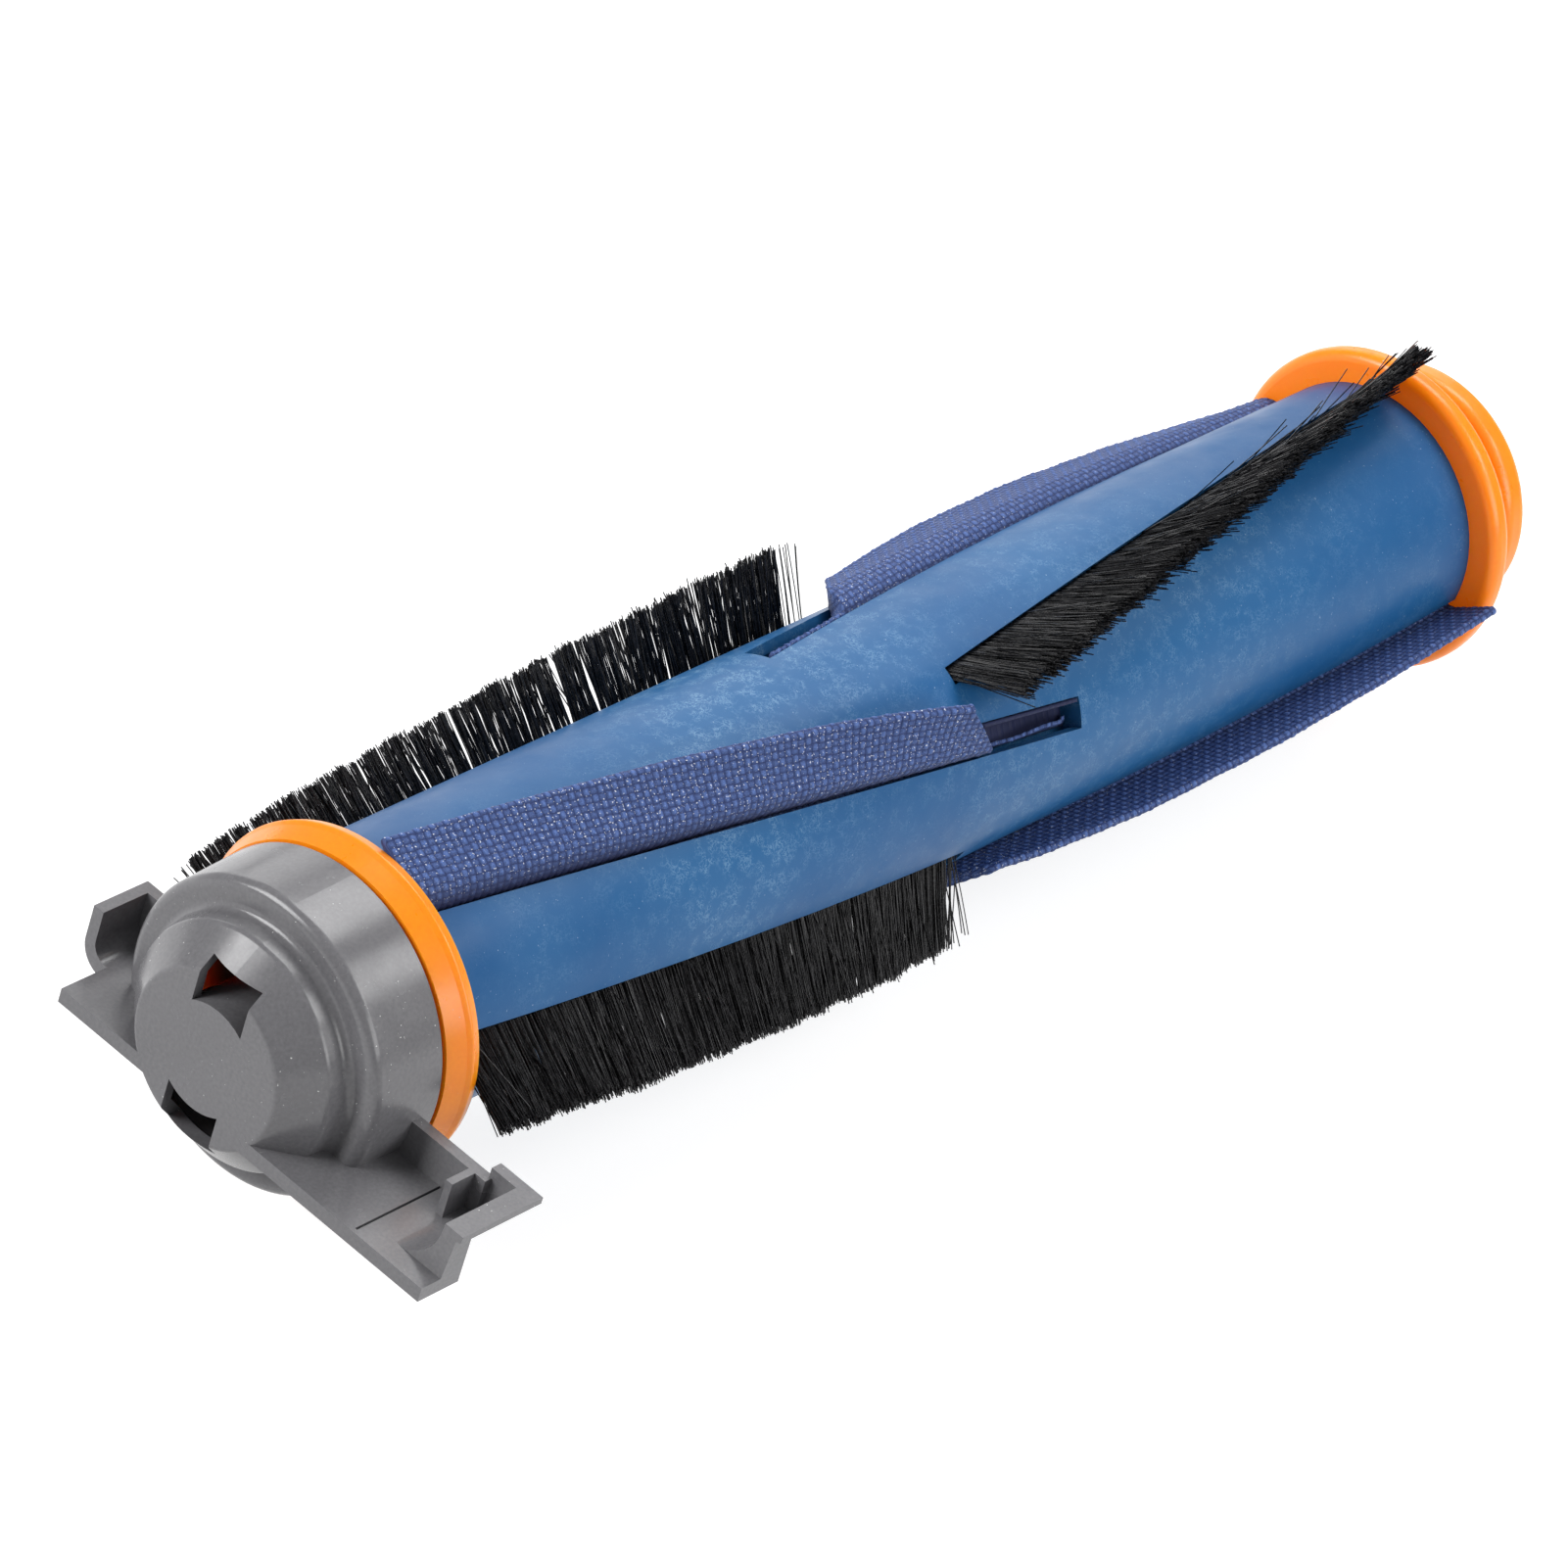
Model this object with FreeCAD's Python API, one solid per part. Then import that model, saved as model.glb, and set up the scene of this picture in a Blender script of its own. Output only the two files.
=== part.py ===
import FreeCAD, Part
import math
import os

# Robot vacuum roller brush, in millimetres.
# X is the spin axis and runs from the end cap's flat front, the origin, to the drive end.
# Z is up, square to the end cap's wing plate. Angles about X are counted from +Y towards +Z.

Vector = FreeCAD.Vector
ORIGIN = Vector(0, 0, 0)
X_AXIS = Vector(1, 0, 0)

# General fits
slide_gap = 0.15
press_gap = 0.01
edge_round = 0.5

# Roller core: a moulded tube with chevron slots, undercut so that the strips slide in from its ends
core_radius = 21.0
core_length = 231.4
slot_floor_wall = 1.3
slot_turn_per_mm = 0.34
slot_lip = 2.0
slot_undercut_depth = 2.2
fabric_slot_width = 5.0
fabric_undercut_width = 7.6
near_slot_overrun = 21.0
far_slot_overrun = 24.8
bristle_slot_width = 3.0
bristle_undercut_width = 6.2
first_fabric_angle = 144.4
bristle_after_fabric = 60.0
far_half_after_near = 90.0
strips_of_each_kind_per_half = 2
far_fabric_past_middle = 5.0
far_bristle_past_middle = 2.0

# Fabric blades, each with a foot in the undercut and a free edge that leans back
fabric_thickness = 2.0
fabric_height_at_middle = 10.0
fabric_height_at_disc = 9.2
fabric_bend_radius = 3.0
fabric_bend_lift = 0.8
fabric_lean_fade_length = 32.0
near_lean_at_middle = 31.0
near_lean_at_disc = 66.0
near_end_slant = 9.5
far_lean_at_middle = 101.0
far_lean_at_disc = 53.5
far_end_slant = 11.2
fabric_lean_most = 85.0
fabric_tail_length = 17.5
fabric_tail_height = 1.7
fabric_tail_floor = 0.7
fabric_tail_wall = 1.4
fabric_section_step = 9.0

# Bristle strips, tufts set in a backing band
bristle_free_length = 13.0
bristle_lean = 40.0
bristle_root_thickness = 1.9
bristle_backing_floor = 0.6
tuft_pitch = 4.2
tuft_base_thickness = 1.4
tuft_tip_thickness = 1.8
tuft_base_gap = 0.2
tuft_tip_gap = 0.9

# Grey end cap: stepped dome, bearing hub, two windows and a plate with two wings
cap_length = 22.0
cap_wall = 1.8
cap_face_radius = 13.4
cap_face_round = 0.9
cap_shoulder_length = 5.3
cap_nose_radius = 18.6
cap_nose_round = 1.2
cap_nose_draft = 0.3
cap_nose_length = 9.0
cap_step_fillet = 1.3
cap_barrel_radius = 24.15
cap_barrel_draft = 0.55
cap_barrel_round = 1.6
hub_radius = 8.7
hub_rear = 13.6
window_width = 9.6
window_top = 14.7
plate_top = -7.1
plate_thickness = 2.4
wing_wall = 1.9
left_plate_reach = 26.6
left_ear_reach = 31.6
left_ear_round = 4.5
left_ear_front = 9.0
ear_top = 0.6
ear_back = 19.7
right_plate_reach = 45.2
right_plate_length = 8.1
right_rim_reach = 46.0
right_rim_width = 3.4
right_rim_thickness = 1.1
right_rim_back = 21.0
right_scoop_radius = 6.2
right_scoop_wall = 1.5
right_scoop_front = 3.8
right_scoop_slant = 1.1
back_wall_top = -1.0
back_wall_reach = 38.3
rib_place = 35.7
rib_thickness = 1.2
rib_length = 4.6
slit_place = 31.6
slit_width = 0.4
slit_depth = 0.8
slit_setback = 0.8

# Bearing in the hub, a standard 5 x 14 x 5 size
bearing_bore_radius = 2.5
bearing_outer_radius = 7.0
bearing_width = 5.0
bearing_front = 7.4
bearing_shoulder = 5.9
ball_radius = 1.2
ball_count = 8
ball_gap = 0.12
inner_land_radius = 3.9
outer_land_radius = 5.55
shield_thickness = 0.25
shield_seat_depth = 0.45
shield_seat_step = 0.3
shield_bore_gap = 0.2
cage_width = 3.2
cage_land_gap = 0.3

# Orange disc at the cap end, with the axle pressed into it
disc_radius = 26.0
disc_thickness = 5.4
disc_rim_back = 1.6
disc_front_radius = 24.4
disc_crease_radius = 25.5
disc_crease_back = 3.0
cap_to_disc_gap = 0.6
spigot_length = 11.4
spigot_wall = 2.3
boss_radius = 3.7
boss_foot_radius = 5.2
axle_overhang = 1.5
axle_chamfer = 0.4

# Orange drive end: a large flange, a groove, a small flange and a keyed drive socket
drive_flange_radius = 26.0
drive_flange_thickness = 4.2
drive_flange_round = 1.7
drive_neck_radius = 17.4
drive_neck_length = 6.2
drive_small_radius = 20.4
drive_small_thickness = 5.4
drive_small_round = 1.9
socket_radius = 5.0
socket_depth = 13.0
socket_wall = 3.0
key_width = 3.0
key_reach = 6.6

# Places along X that follow from the sizes above
disc_front = cap_length + cap_to_disc_gap
core_start = disc_front + disc_thickness
core_end = core_start + core_length
core_middle = core_start + core_length / 2
slot_floor_radius = core_radius - slot_lip - slot_undercut_depth
core_bore_radius = slot_floor_radius - slot_floor_wall
lip_under_radius = core_radius - slot_lip
bearing_back = bearing_front + bearing_width
pitch_radius = (bearing_bore_radius + bearing_outer_radius) / 2
axle_end = core_start + spigot_length
drive_end = core_end + drive_flange_thickness + drive_neck_length + drive_small_thickness


# Sketching helpers

def corner_arc(before, here, after, radius):
    """Start, middle and end of the arc that rounds the corner here."""
    back = (before - here).normalize()
    ahead = (after - here).normalize()
    half_angle = back.getAngle(ahead) / 2
    reach = radius / math.tan(half_angle)
    inward = (back + ahead).normalize()
    to_arc = radius / math.sin(half_angle) - radius
    return here + back * reach, here + inward * to_arc, here + ahead * reach


def rounded_wire(corners, place):
    """Closed wire through corners given as (a, b) or (a, b, radius), put in space by place."""
    flat = [Vector(corner[0], corner[1], 0) for corner in corners]
    runs = []
    for index, corner in enumerate(corners):
        here = flat[index]
        after = flat[(index + 1) % len(flat)]
        if len(corner) == 3:
            runs.append(corner_arc(flat[index - 1], here, after, corner[2]))
        else:
            runs.append((here,))
    edges = []
    for index, run in enumerate(runs):
        points = [place(point) for point in run]
        if len(points) == 3:
            edges.append(Part.Arc(*points).toShape())
        next_point = place(runs[(index + 1) % len(runs)][0])
        edges.append(Part.LineSegment(points[-1], next_point).toShape())
    return Part.Wire(edges)


def revolved(corners):
    """Solid of revolution about X of an outline in (x, radius)."""
    wire = rounded_wire(corners, lambda point: Vector(point.x, 0, point.y))
    return Part.Face(wire).revolve(ORIGIN, X_AXIS, 360)


def extruded(corners, x_start, x_end):
    """Prism along X of an outline in (y, z)."""
    wire = rounded_wire(corners, lambda point: Vector(x_start, point.x, point.y))
    return Part.Face(wire).extrude(Vector(x_end - x_start, 0, 0))


def side_extruded(corners, y_start, y_end):
    """Prism along Y of an outline in (x, z)."""
    wire = rounded_wire(corners, lambda point: Vector(point.x, y_start, point.y))
    return Part.Face(wire).extrude(Vector(0, y_end - y_start, 0))


def box(low, high):
    return Part.makeBox(high[0] - low[0], high[1] - low[1], high[2] - low[2], Vector(*low))


def about_axis(x, angle, across, out):
    """Point at x, at a place given across and out from the axis in a frame turned by angle."""
    turn = math.radians(angle)
    y = out * math.cos(turn) - across * math.sin(turn)
    z = out * math.sin(turn) + across * math.cos(turn)
    return Vector(x, y, z)


def twisted(section_at, x_start, x_end, angle_at, step_length=24.0):
    """Solid whose section (across, out), given by section_at for each x, turns about X along its length."""
    steps = max(3, math.ceil((x_end - x_start) / step_length))
    wires = []
    for step in range(steps + 1):
        x = x_start + (x_end - x_start) * step / steps
        angle = angle_at(x)
        wires.append(rounded_wire(section_at(x), lambda point: about_axis(x, angle, point.x, point.y)))
    return Part.makeLoft(wires, True, False)


# Roller core and its strips

def strip_angle(near_half, bristle, copy):
    """Function that gives a strip's angle about X at any x."""
    at_middle = first_fabric_angle + copy * 360.0 / strips_of_each_kind_per_half
    if bristle:
        at_middle += bristle_after_fabric
    if near_half:
        return lambda x: at_middle + slot_turn_per_mm * (x - core_middle)
    at_middle += far_half_after_near
    return lambda x: at_middle - slot_turn_per_mm * (x - core_middle)


def slot_span(near_half, bristle):
    if near_half:
        overrun = 0.0 if bristle else near_slot_overrun
        return core_start, core_middle + overrun
    overrun = far_bristle_past_middle if bristle else far_slot_overrun
    return core_middle - overrun, core_end


def slot_cutter(near_half, bristle, copy):
    neck = bristle_slot_width if bristle else fabric_slot_width
    undercut = bristle_undercut_width if bristle else fabric_undercut_width
    above = core_radius + slot_lip
    corners = [(-undercut / 2, slot_floor_radius), (undercut / 2, slot_floor_radius),
               (undercut / 2, lip_under_radius), (neck / 2, lip_under_radius),
               (neck / 2, above), (-neck / 2, above),
               (-neck / 2, lip_under_radius), (-undercut / 2, lip_under_radius)]
    start, end = slot_span(near_half, bristle)
    past_end = slot_lip
    if near_half:
        start -= past_end
    else:
        end += past_end
    return twisted(lambda x: corners, start, end, strip_angle(near_half, bristle, copy))


def roller_core():
    tube = revolved([(core_start, core_bore_radius), (core_start, core_radius),
                     (core_end, core_radius), (core_end, core_bore_radius)])
    cutters = [slot_cutter(near_half, bristle, copy)
               for near_half in (True, False)
               for bristle in (True, False)
               for copy in range(strips_of_each_kind_per_half)]
    return tube.cut(cutters)


def strip_span(near_half, bristle):
    """Start and end of a strip. The far half's strips run on past the roller's middle."""
    if near_half:
        return core_start + slide_gap, core_middle - slide_gap
    past_middle = far_bristle_past_middle if bristle else far_fabric_past_middle
    return core_middle - past_middle + slide_gap, core_end - slide_gap


def fabric_lean(near_half, from_inner):
    """Lean of a blade's free edge in degrees. It fades from the blade's inner end to the disc."""
    at_middle = near_lean_at_middle if near_half else far_lean_at_middle
    at_disc = near_lean_at_disc if near_half else far_lean_at_disc
    lean = at_disc + (at_middle - at_disc) * math.exp(-from_inner / fabric_lean_fade_length)
    return min(lean, fabric_lean_most)


def fabric_section(lean, free_height):
    """Outline (across, out) of a fabric blade whose free edge leans back by lean, in degrees."""
    lean = math.radians(lean)
    half = fabric_thickness / 2
    foot_half = fabric_undercut_width / 2 - slide_gap
    foot_low = slot_floor_radius + slide_gap
    foot_high = lip_under_radius - slide_gap
    bend = core_radius + fabric_bend_lift
    bend_shift = half * math.tan(lean / 2)
    tip_across = -math.sin(lean) * free_height
    tip_out = bend + math.cos(lean) * free_height
    side_across = math.cos(lean) * half
    side_out = math.sin(lean) * half
    return [(-foot_half, foot_low), (foot_half, foot_low), (foot_half, foot_high), (half, foot_high),
            (half, bend + bend_shift, fabric_bend_radius + half),
            (tip_across + side_across, tip_out + side_out),
            (tip_across - side_across, tip_out - side_out),
            (-half, bend - bend_shift, fabric_bend_radius - half),
            (-half, foot_high), (-foot_half, foot_high)]


def fabric_end_cut(near_half, inner, outward, angle_at):
    """Wedge that slants the blade's end at the roller's middle, so that its free edge is shorter."""
    slant = near_end_slant if near_half else far_end_slant
    lean = math.radians(fabric_lean(near_half, slant))
    foot = about_axis(inner, angle_at(inner), 0, core_radius + fabric_bend_lift)
    along = about_axis(0, angle_at(inner), -math.sin(lean), math.cos(lean)) * fabric_height_at_middle
    tip = foot + along + X_AXIS * (outward * slant)
    across = about_axis(0, angle_at(inner), math.cos(lean), math.sin(lean)) * (4 * fabric_thickness)
    reach = (tip - foot) * 2
    corners = [foot - across, foot + across, foot + across + reach, foot - across + reach, foot - across]
    return Part.Face(Part.makePolygon(corners)).extrude(X_AXIS * (-outward * 3 * slant))


def fabric_tail(inner, outward, angle_at):
    """Torn end of the blade's foot, which runs on along the floor and one side of the open slot."""
    side = fabric_slot_width / 2 - slide_gap
    low = slot_floor_radius + slide_gap
    high = low + fabric_tail_height
    floor = low + fabric_tail_floor
    inside = side - fabric_tail_wall
    corners = [(-side, low), (side, low), (side, high), (inside, high), (inside, floor), (-side, floor)]
    end = inner - outward * fabric_tail_length
    return twisted(lambda x: corners, min(inner, end), max(inner, end), angle_at)


def fabric_blade(near_half, copy):
    angle_at = strip_angle(near_half, False, copy)
    start, end = strip_span(near_half, False)
    inner = end if near_half else start
    outward = -1 if near_half else 1

    def section_at(x):
        share = abs(x - inner) / (end - start)
        height = fabric_height_at_middle + (fabric_height_at_disc - fabric_height_at_middle) * share
        return fabric_section(fabric_lean(near_half, abs(x - inner)), height)

    blade = twisted(section_at, start, end, angle_at, fabric_section_step)
    blade = blade.cut(fabric_end_cut(near_half, inner, outward, angle_at))
    return blade.fuse(fabric_tail(inner, outward, angle_at)).removeSplitter()


def bristle_backing(near_half, copy):
    half = bristle_undercut_width / 2 - slide_gap
    groove = bristle_root_thickness / 2 + slide_gap
    low = slot_floor_radius + slide_gap
    high = lip_under_radius - slide_gap
    groove_floor = low + bristle_backing_floor
    corners = [(-half, low), (half, low), (half, high), (groove, high), (groove, groove_floor),
               (-groove, groove_floor), (-groove, high), (-half, high)]
    start, end = strip_span(near_half, True)
    return twisted(lambda x: corners, start, end, strip_angle(near_half, True, copy))


def tuft(x, angle, along):
    """One straight tuft that leans out of the slot, along long at its root."""
    lean = math.radians(bristle_lean)
    ends = []
    for out_along, thickness, gap in ((0, tuft_base_thickness, tuft_base_gap),
                                      (bristle_free_length, tuft_tip_thickness, tuft_tip_gap)):
        across = math.sin(lean) * out_along
        out = core_radius + math.cos(lean) * out_along
        side_across = math.cos(lean) * thickness / 2
        side_out = -math.sin(lean) * thickness / 2
        half_along = (along - gap) / 2
        corners = [about_axis(x - half_along, angle, across - side_across, out - side_out),
                   about_axis(x + half_along, angle, across - side_across, out - side_out),
                   about_axis(x + half_along, angle, across + side_across, out + side_out),
                   about_axis(x - half_along, angle, across + side_across, out + side_out)]
        ends.append(Part.makePolygon(corners + corners[:1]))
    return Part.makeLoft(ends, True, True)


def bristle_row(near_half, copy):
    half = bristle_root_thickness / 2
    low = slot_floor_radius + slide_gap + bristle_backing_floor + slide_gap
    high = core_radius + tuft_base_gap
    corners = [(-half, low), (half, low), (half, high), (-half, high)]
    angle_at = strip_angle(near_half, True, copy)
    start, end = strip_span(near_half, True)
    root = twisted(lambda x: corners, start, end, angle_at)
    tuft_count = round((end - start) / tuft_pitch)
    along = (end - start) / tuft_count
    centres = [start + along * (index + 0.5) for index in range(tuft_count)]
    return root.fuse([tuft(x, angle_at(x), along) for x in centres])


# Orange end pieces and the axle

def near_end_disc():
    spigot_radius = core_bore_radius - slide_gap
    spigot_bore = spigot_radius - spigot_wall
    bore = bearing_bore_radius + press_gap
    web_back = core_start + spigot_wall
    rim_place = core_start - disc_rim_back
    return revolved([(bearing_back, bore), (bearing_back, boss_radius),
                     (disc_front, boss_foot_radius), (disc_front, disc_front_radius),
                     (disc_front + disc_crease_back, disc_crease_radius),
                     (rim_place, disc_radius, edge_round), (core_start, disc_crease_radius),
                     (core_start, spigot_radius), (axle_end, spigot_radius), (axle_end, spigot_bore),
                     (web_back, spigot_bore), (web_back, boss_foot_radius),
                     (axle_end, boss_foot_radius), (axle_end, bore)])


def axle_pin():
    radius = bearing_bore_radius
    front = bearing_front - axle_overhang
    return revolved([(front, 0), (front, radius - axle_chamfer), (front + axle_chamfer, radius),
                     (axle_end - axle_chamfer, radius), (axle_end, radius - axle_chamfer), (axle_end, 0)])


def drive_end_cap():
    spigot_radius = core_bore_radius - slide_gap
    spigot_bore = spigot_radius - spigot_wall
    spigot_end = core_end - spigot_length
    flange_back = core_end + drive_flange_thickness
    small_front = flange_back + drive_neck_length
    socket_floor = drive_end - socket_depth
    body = revolved([(socket_floor - socket_wall, 0), (socket_floor - socket_wall, spigot_bore),
                     (spigot_end, spigot_bore), (spigot_end, spigot_radius), (core_end, spigot_radius),
                     (core_end, drive_flange_radius, drive_flange_round),
                     (flange_back, drive_flange_radius, drive_flange_round),
                     (flange_back, drive_neck_radius), (small_front, drive_neck_radius),
                     (small_front, drive_small_radius, drive_small_round),
                     (drive_end, drive_small_radius, drive_small_round), (drive_end, 0)])
    socket = revolved([(socket_floor, 0), (socket_floor, socket_radius),
                       (drive_end + edge_round, socket_radius), (drive_end + edge_round, 0)])
    keys = box((socket_floor, -key_reach, -key_width / 2), (drive_end + edge_round, key_reach, key_width / 2))
    return body.cut([socket, keys])


# Ball bearing

def groove_ring():
    """Torus that cuts the ball track into both rings."""
    middle = Vector((bearing_front + bearing_back) / 2, 0, 0)
    return Part.makeTorus(pitch_radius, ball_radius + ball_gap, middle, X_AXIS)


def ball_places():
    x = (bearing_front + bearing_back) / 2
    return [about_axis(x, index * 360.0 / ball_count, 0, pitch_radius) for index in range(ball_count)]


def bearing_inner_ring():
    bore = bearing_bore_radius + press_gap
    ring = revolved([(bearing_front, bore), (bearing_front, inner_land_radius),
                     (bearing_back, inner_land_radius), (bearing_back, bore)])
    return ring.cut(groove_ring())


def bearing_outer_ring():
    outer = bearing_outer_radius - press_gap
    seat = outer_land_radius + shield_seat_step
    ring = revolved([(bearing_front, seat), (bearing_front, outer), (bearing_back, outer), (bearing_back, seat),
                     (bearing_back - shield_seat_depth, seat),
                     (bearing_back - shield_seat_depth, outer_land_radius),
                     (bearing_front + shield_seat_depth, outer_land_radius),
                     (bearing_front + shield_seat_depth, seat)])
    return ring.cut(groove_ring())


def bearing_balls():
    return Part.makeCompound([Part.makeSphere(ball_radius, place) for place in ball_places()])


def bearing_cage():
    middle = (bearing_front + bearing_back) / 2
    low = inner_land_radius + cage_land_gap
    high = outer_land_radius - cage_land_gap
    ring = revolved([(middle - cage_width / 2, low), (middle - cage_width / 2, high),
                     (middle + cage_width / 2, high), (middle + cage_width / 2, low)])
    return ring.cut([Part.makeSphere(ball_radius + slide_gap, place) for place in ball_places()])


def bearing_shield(front):
    """Thin steel disc in the outer ring's seat, at the front or the back of the bearing."""
    low = inner_land_radius + shield_bore_gap
    high = outer_land_radius + shield_seat_step - press_gap
    near = bearing_front + shield_seat_depth - shield_thickness
    if not front:
        near = bearing_back - shield_seat_depth
    return revolved([(near, low), (near, high), (near + shield_thickness, high), (near + shield_thickness, low)])


# Grey end cap

def cap_dome():
    barrel_front = cap_barrel_radius - cap_barrel_draft
    return revolved([(0, 0), (0, cap_face_radius, cap_face_round),
                     (cap_shoulder_length, cap_nose_radius, cap_nose_round),
                     (cap_nose_length, cap_nose_radius + cap_nose_draft, cap_step_fillet),
                     (cap_nose_length, barrel_front, cap_barrel_round),
                     (cap_length, cap_barrel_radius), (cap_length, 0)])


def cap_cavity():
    """Inside of the dome, one wall within its outline and open at the back."""
    shoulder_slope = math.atan2(cap_shoulder_length, cap_nose_radius - cap_face_radius)
    face_shift = cap_wall * math.tan(shoulder_slope / 2)
    nose_shift = cap_wall * math.tan((math.pi / 2 - shoulder_slope) / 2)
    nose = cap_nose_radius - cap_wall
    barrel_front = cap_barrel_radius - cap_barrel_draft - cap_wall
    step = cap_nose_length + cap_wall
    past_back = cap_length + cap_wall
    return revolved([(cap_wall, 0), (cap_wall, cap_face_radius - face_shift),
                     (cap_shoulder_length + nose_shift, nose), (step, nose + cap_nose_draft),
                     (step, barrel_front), (past_back, cap_barrel_radius - cap_wall), (past_back, 0)])


def bearing_hub():
    seat = bearing_outer_radius
    return revolved([(cap_wall / 2, bearing_shoulder), (cap_wall / 2, hub_radius), (hub_rear, hub_radius),
                     (hub_rear, seat), (bearing_front, seat), (bearing_front, bearing_shoulder)])


def left_wing():
    plate_low = plate_top - plate_thickness
    plate = box((0, 0, plate_low), (ear_back, left_plate_reach, plate_top))
    inner_reach = left_ear_reach - wing_wall
    outside = [(0, plate_low), (left_ear_reach, plate_low, left_ear_round), (left_ear_reach, ear_top)]
    ear = extruded(outside + [(inner_reach, ear_top), (inner_reach, plate_top, left_ear_round - wing_wall),
                              (0, plate_top)], left_ear_front, ear_back)
    back_wall = extruded(outside + [(0, ear_top)], ear_back - wing_wall, ear_back)
    return plate.fuse([ear, back_wall])


def right_scoop(x_start, x_end, outside):
    """Trough that curves up from the plate to the wing's rim. outside closes the outline below it."""
    rim_inside = right_rim_width - right_rim_reach
    scoop_edge = rim_inside + right_scoop_radius
    scoop_top = plate_top + right_scoop_radius
    on_arc = right_scoop_radius * (1 - math.sqrt(0.5))
    first = Vector(x_start, scoop_edge, plate_top)
    last = Vector(x_start, rim_inside, scoop_top)
    middle = Vector(x_start, rim_inside + on_arc, plate_top + on_arc)
    points = [last, Vector(x_start, rim_inside, ear_top)] + [Vector(x_start, y, z) for y, z in outside]
    points += [Vector(x_start, scoop_edge, plate_top - plate_thickness), first]
    edges = [Part.Arc(first, middle, last).toShape()]
    edges += [Part.LineSegment(here, after).toShape() for here, after in zip(points, points[1:])]
    return Part.Face(Part.Wire(edges)).extrude(X_AXIS * (x_end - x_start))


def right_wing():
    plate_low = plate_top - plate_thickness
    rim_inside = right_rim_width - right_rim_reach
    scoop_edge = rim_inside + right_scoop_radius
    rim_low = ear_top - right_rim_thickness
    plate = box((0, scoop_edge, plate_low), (ear_back, 0, plate_top))
    front_plate = box((0, -right_plate_reach, plate_low), (right_plate_length, scoop_edge, plate_top))
    front_block = right_scoop(right_scoop_front, right_plate_length,
                              [(-right_plate_reach, ear_top), (-right_plate_reach, plate_low)])

    # Behind the front block only a thin trough is left, and its rim hangs over
    hollow_centre = Vector(right_scoop_front, scoop_edge, plate_top + right_scoop_radius)
    trough_radius = right_scoop_radius + right_scoop_wall
    inside = Part.makeCylinder(trough_radius, right_rim_back - right_scoop_front, hollow_centre, X_AXIS)
    inside = inside.fuse(box((right_scoop_front, scoop_edge - trough_radius, plate_top + right_scoop_radius),
                             (right_rim_back, scoop_edge, ear_top)))
    trough = right_scoop(right_scoop_front, ear_back, [(-right_rim_reach, ear_top), (-right_rim_reach, plate_low)])
    corner = box((right_rim_back - wing_wall, -right_rim_reach, plate_low),
                 (right_rim_back, edge_round - back_wall_reach, ear_top))
    rim = box((right_scoop_front, -right_rim_reach, rim_low), (right_rim_back, rim_inside, ear_top))
    end = front_block.fuse([trough.common(inside), corner.common(inside), rim])
    past = edge_round
    slant = side_extruded([(right_scoop_front, plate_top),
                           (right_scoop_front + right_scoop_slant, ear_top + past),
                           (right_scoop_front - past, ear_top + past), (right_scoop_front - past, plate_top)],
                          -right_rim_reach - past, scoop_edge)
    back_wall = box((ear_back - wing_wall, -back_wall_reach, plate_low), (ear_back, 0, back_wall_top))
    rib = box((ear_back - wing_wall - rib_length, -rib_place - rib_thickness / 2, plate_low),
              (ear_back, rib_thickness / 2 - rib_place, back_wall_top))
    slit = box((slit_setback, -slit_place - slit_width / 2, plate_top - slit_depth),
               (ear_back - wing_wall, slit_width / 2 - slit_place, back_wall_top))
    return plate.fuse([front_plate, end.cut(slant), back_wall, rib]).cut(slit)


def cap_window(above):
    depth = cap_nose_length
    low = 0 if above else -window_top
    high = window_top if above else 0
    slot = box((-edge_round, -window_width / 2, low), (depth, window_width / 2, high))
    hub_guard = Part.makeCylinder(hub_radius, cap_length, Vector(-cap_wall, 0, 0), X_AXIS)
    return slot.cut(hub_guard)


def end_cap():
    shell = cap_dome().fuse([left_wing(), right_wing()]).cut(cap_cavity())
    cap = shell.fuse(bearing_hub()).cut([cap_window(True), cap_window(False)])
    return cap.removeSplitter()


def all_nodes():
    nodes = {
        "end_cap": end_cap(),
        "bearing_outer_ring": bearing_outer_ring(),
        "bearing_inner_ring": bearing_inner_ring(),
        "bearing_balls": bearing_balls(),
        "bearing_cage": bearing_cage(),
        "bearing_shield_front": bearing_shield(True),
        "bearing_shield_rear": bearing_shield(False),
        "axle_pin": axle_pin(),
        "near_end_disc": near_end_disc(),
        "roller_core": roller_core(),
        "drive_end_cap": drive_end_cap(),
    }
    for near_half in (True, False):
        half_name = "near" if near_half else "far"
        for copy in range(strips_of_each_kind_per_half):
            place = f"{half_name}_{copy + 1}"
            nodes["fabric_blade_" + place] = fabric_blade(near_half, copy)
            nodes["bristle_backing_" + place] = bristle_backing(near_half, copy)
            nodes["bristle_row_" + place] = bristle_row(near_half, copy)
    return nodes


os.makedirs("parts", exist_ok=True)
for name, shape in all_nodes().items():
    shape.exportStep("parts/" + name + ".step")
    size = shape.BoundBox
    print(name, len(shape.Solids), "solids", round(shape.Volume, 1), "mm3", shape.isValid(),
          [round(v, 2) for v in (size.XMin, size.YMin, size.ZMin, size.XMax, size.YMax, size.ZMax)])
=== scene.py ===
# %% [markdown]
# # Robot vacuum roller brush
# A blue moulded roller carries four navy fabric blades and four rows of black bristles in a chevron. An
# orange disc closes each end, and a grey cap with two wings holds the roller's bearing. The rigid pieces
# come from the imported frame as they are. This file adds what a solid model leaves out: cloth, bristles, the
# finish of each surface, light and a camera.

# %% Load the frame
import math

import bpy
import numpy as np
from mathutils import Matrix, Vector


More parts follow.
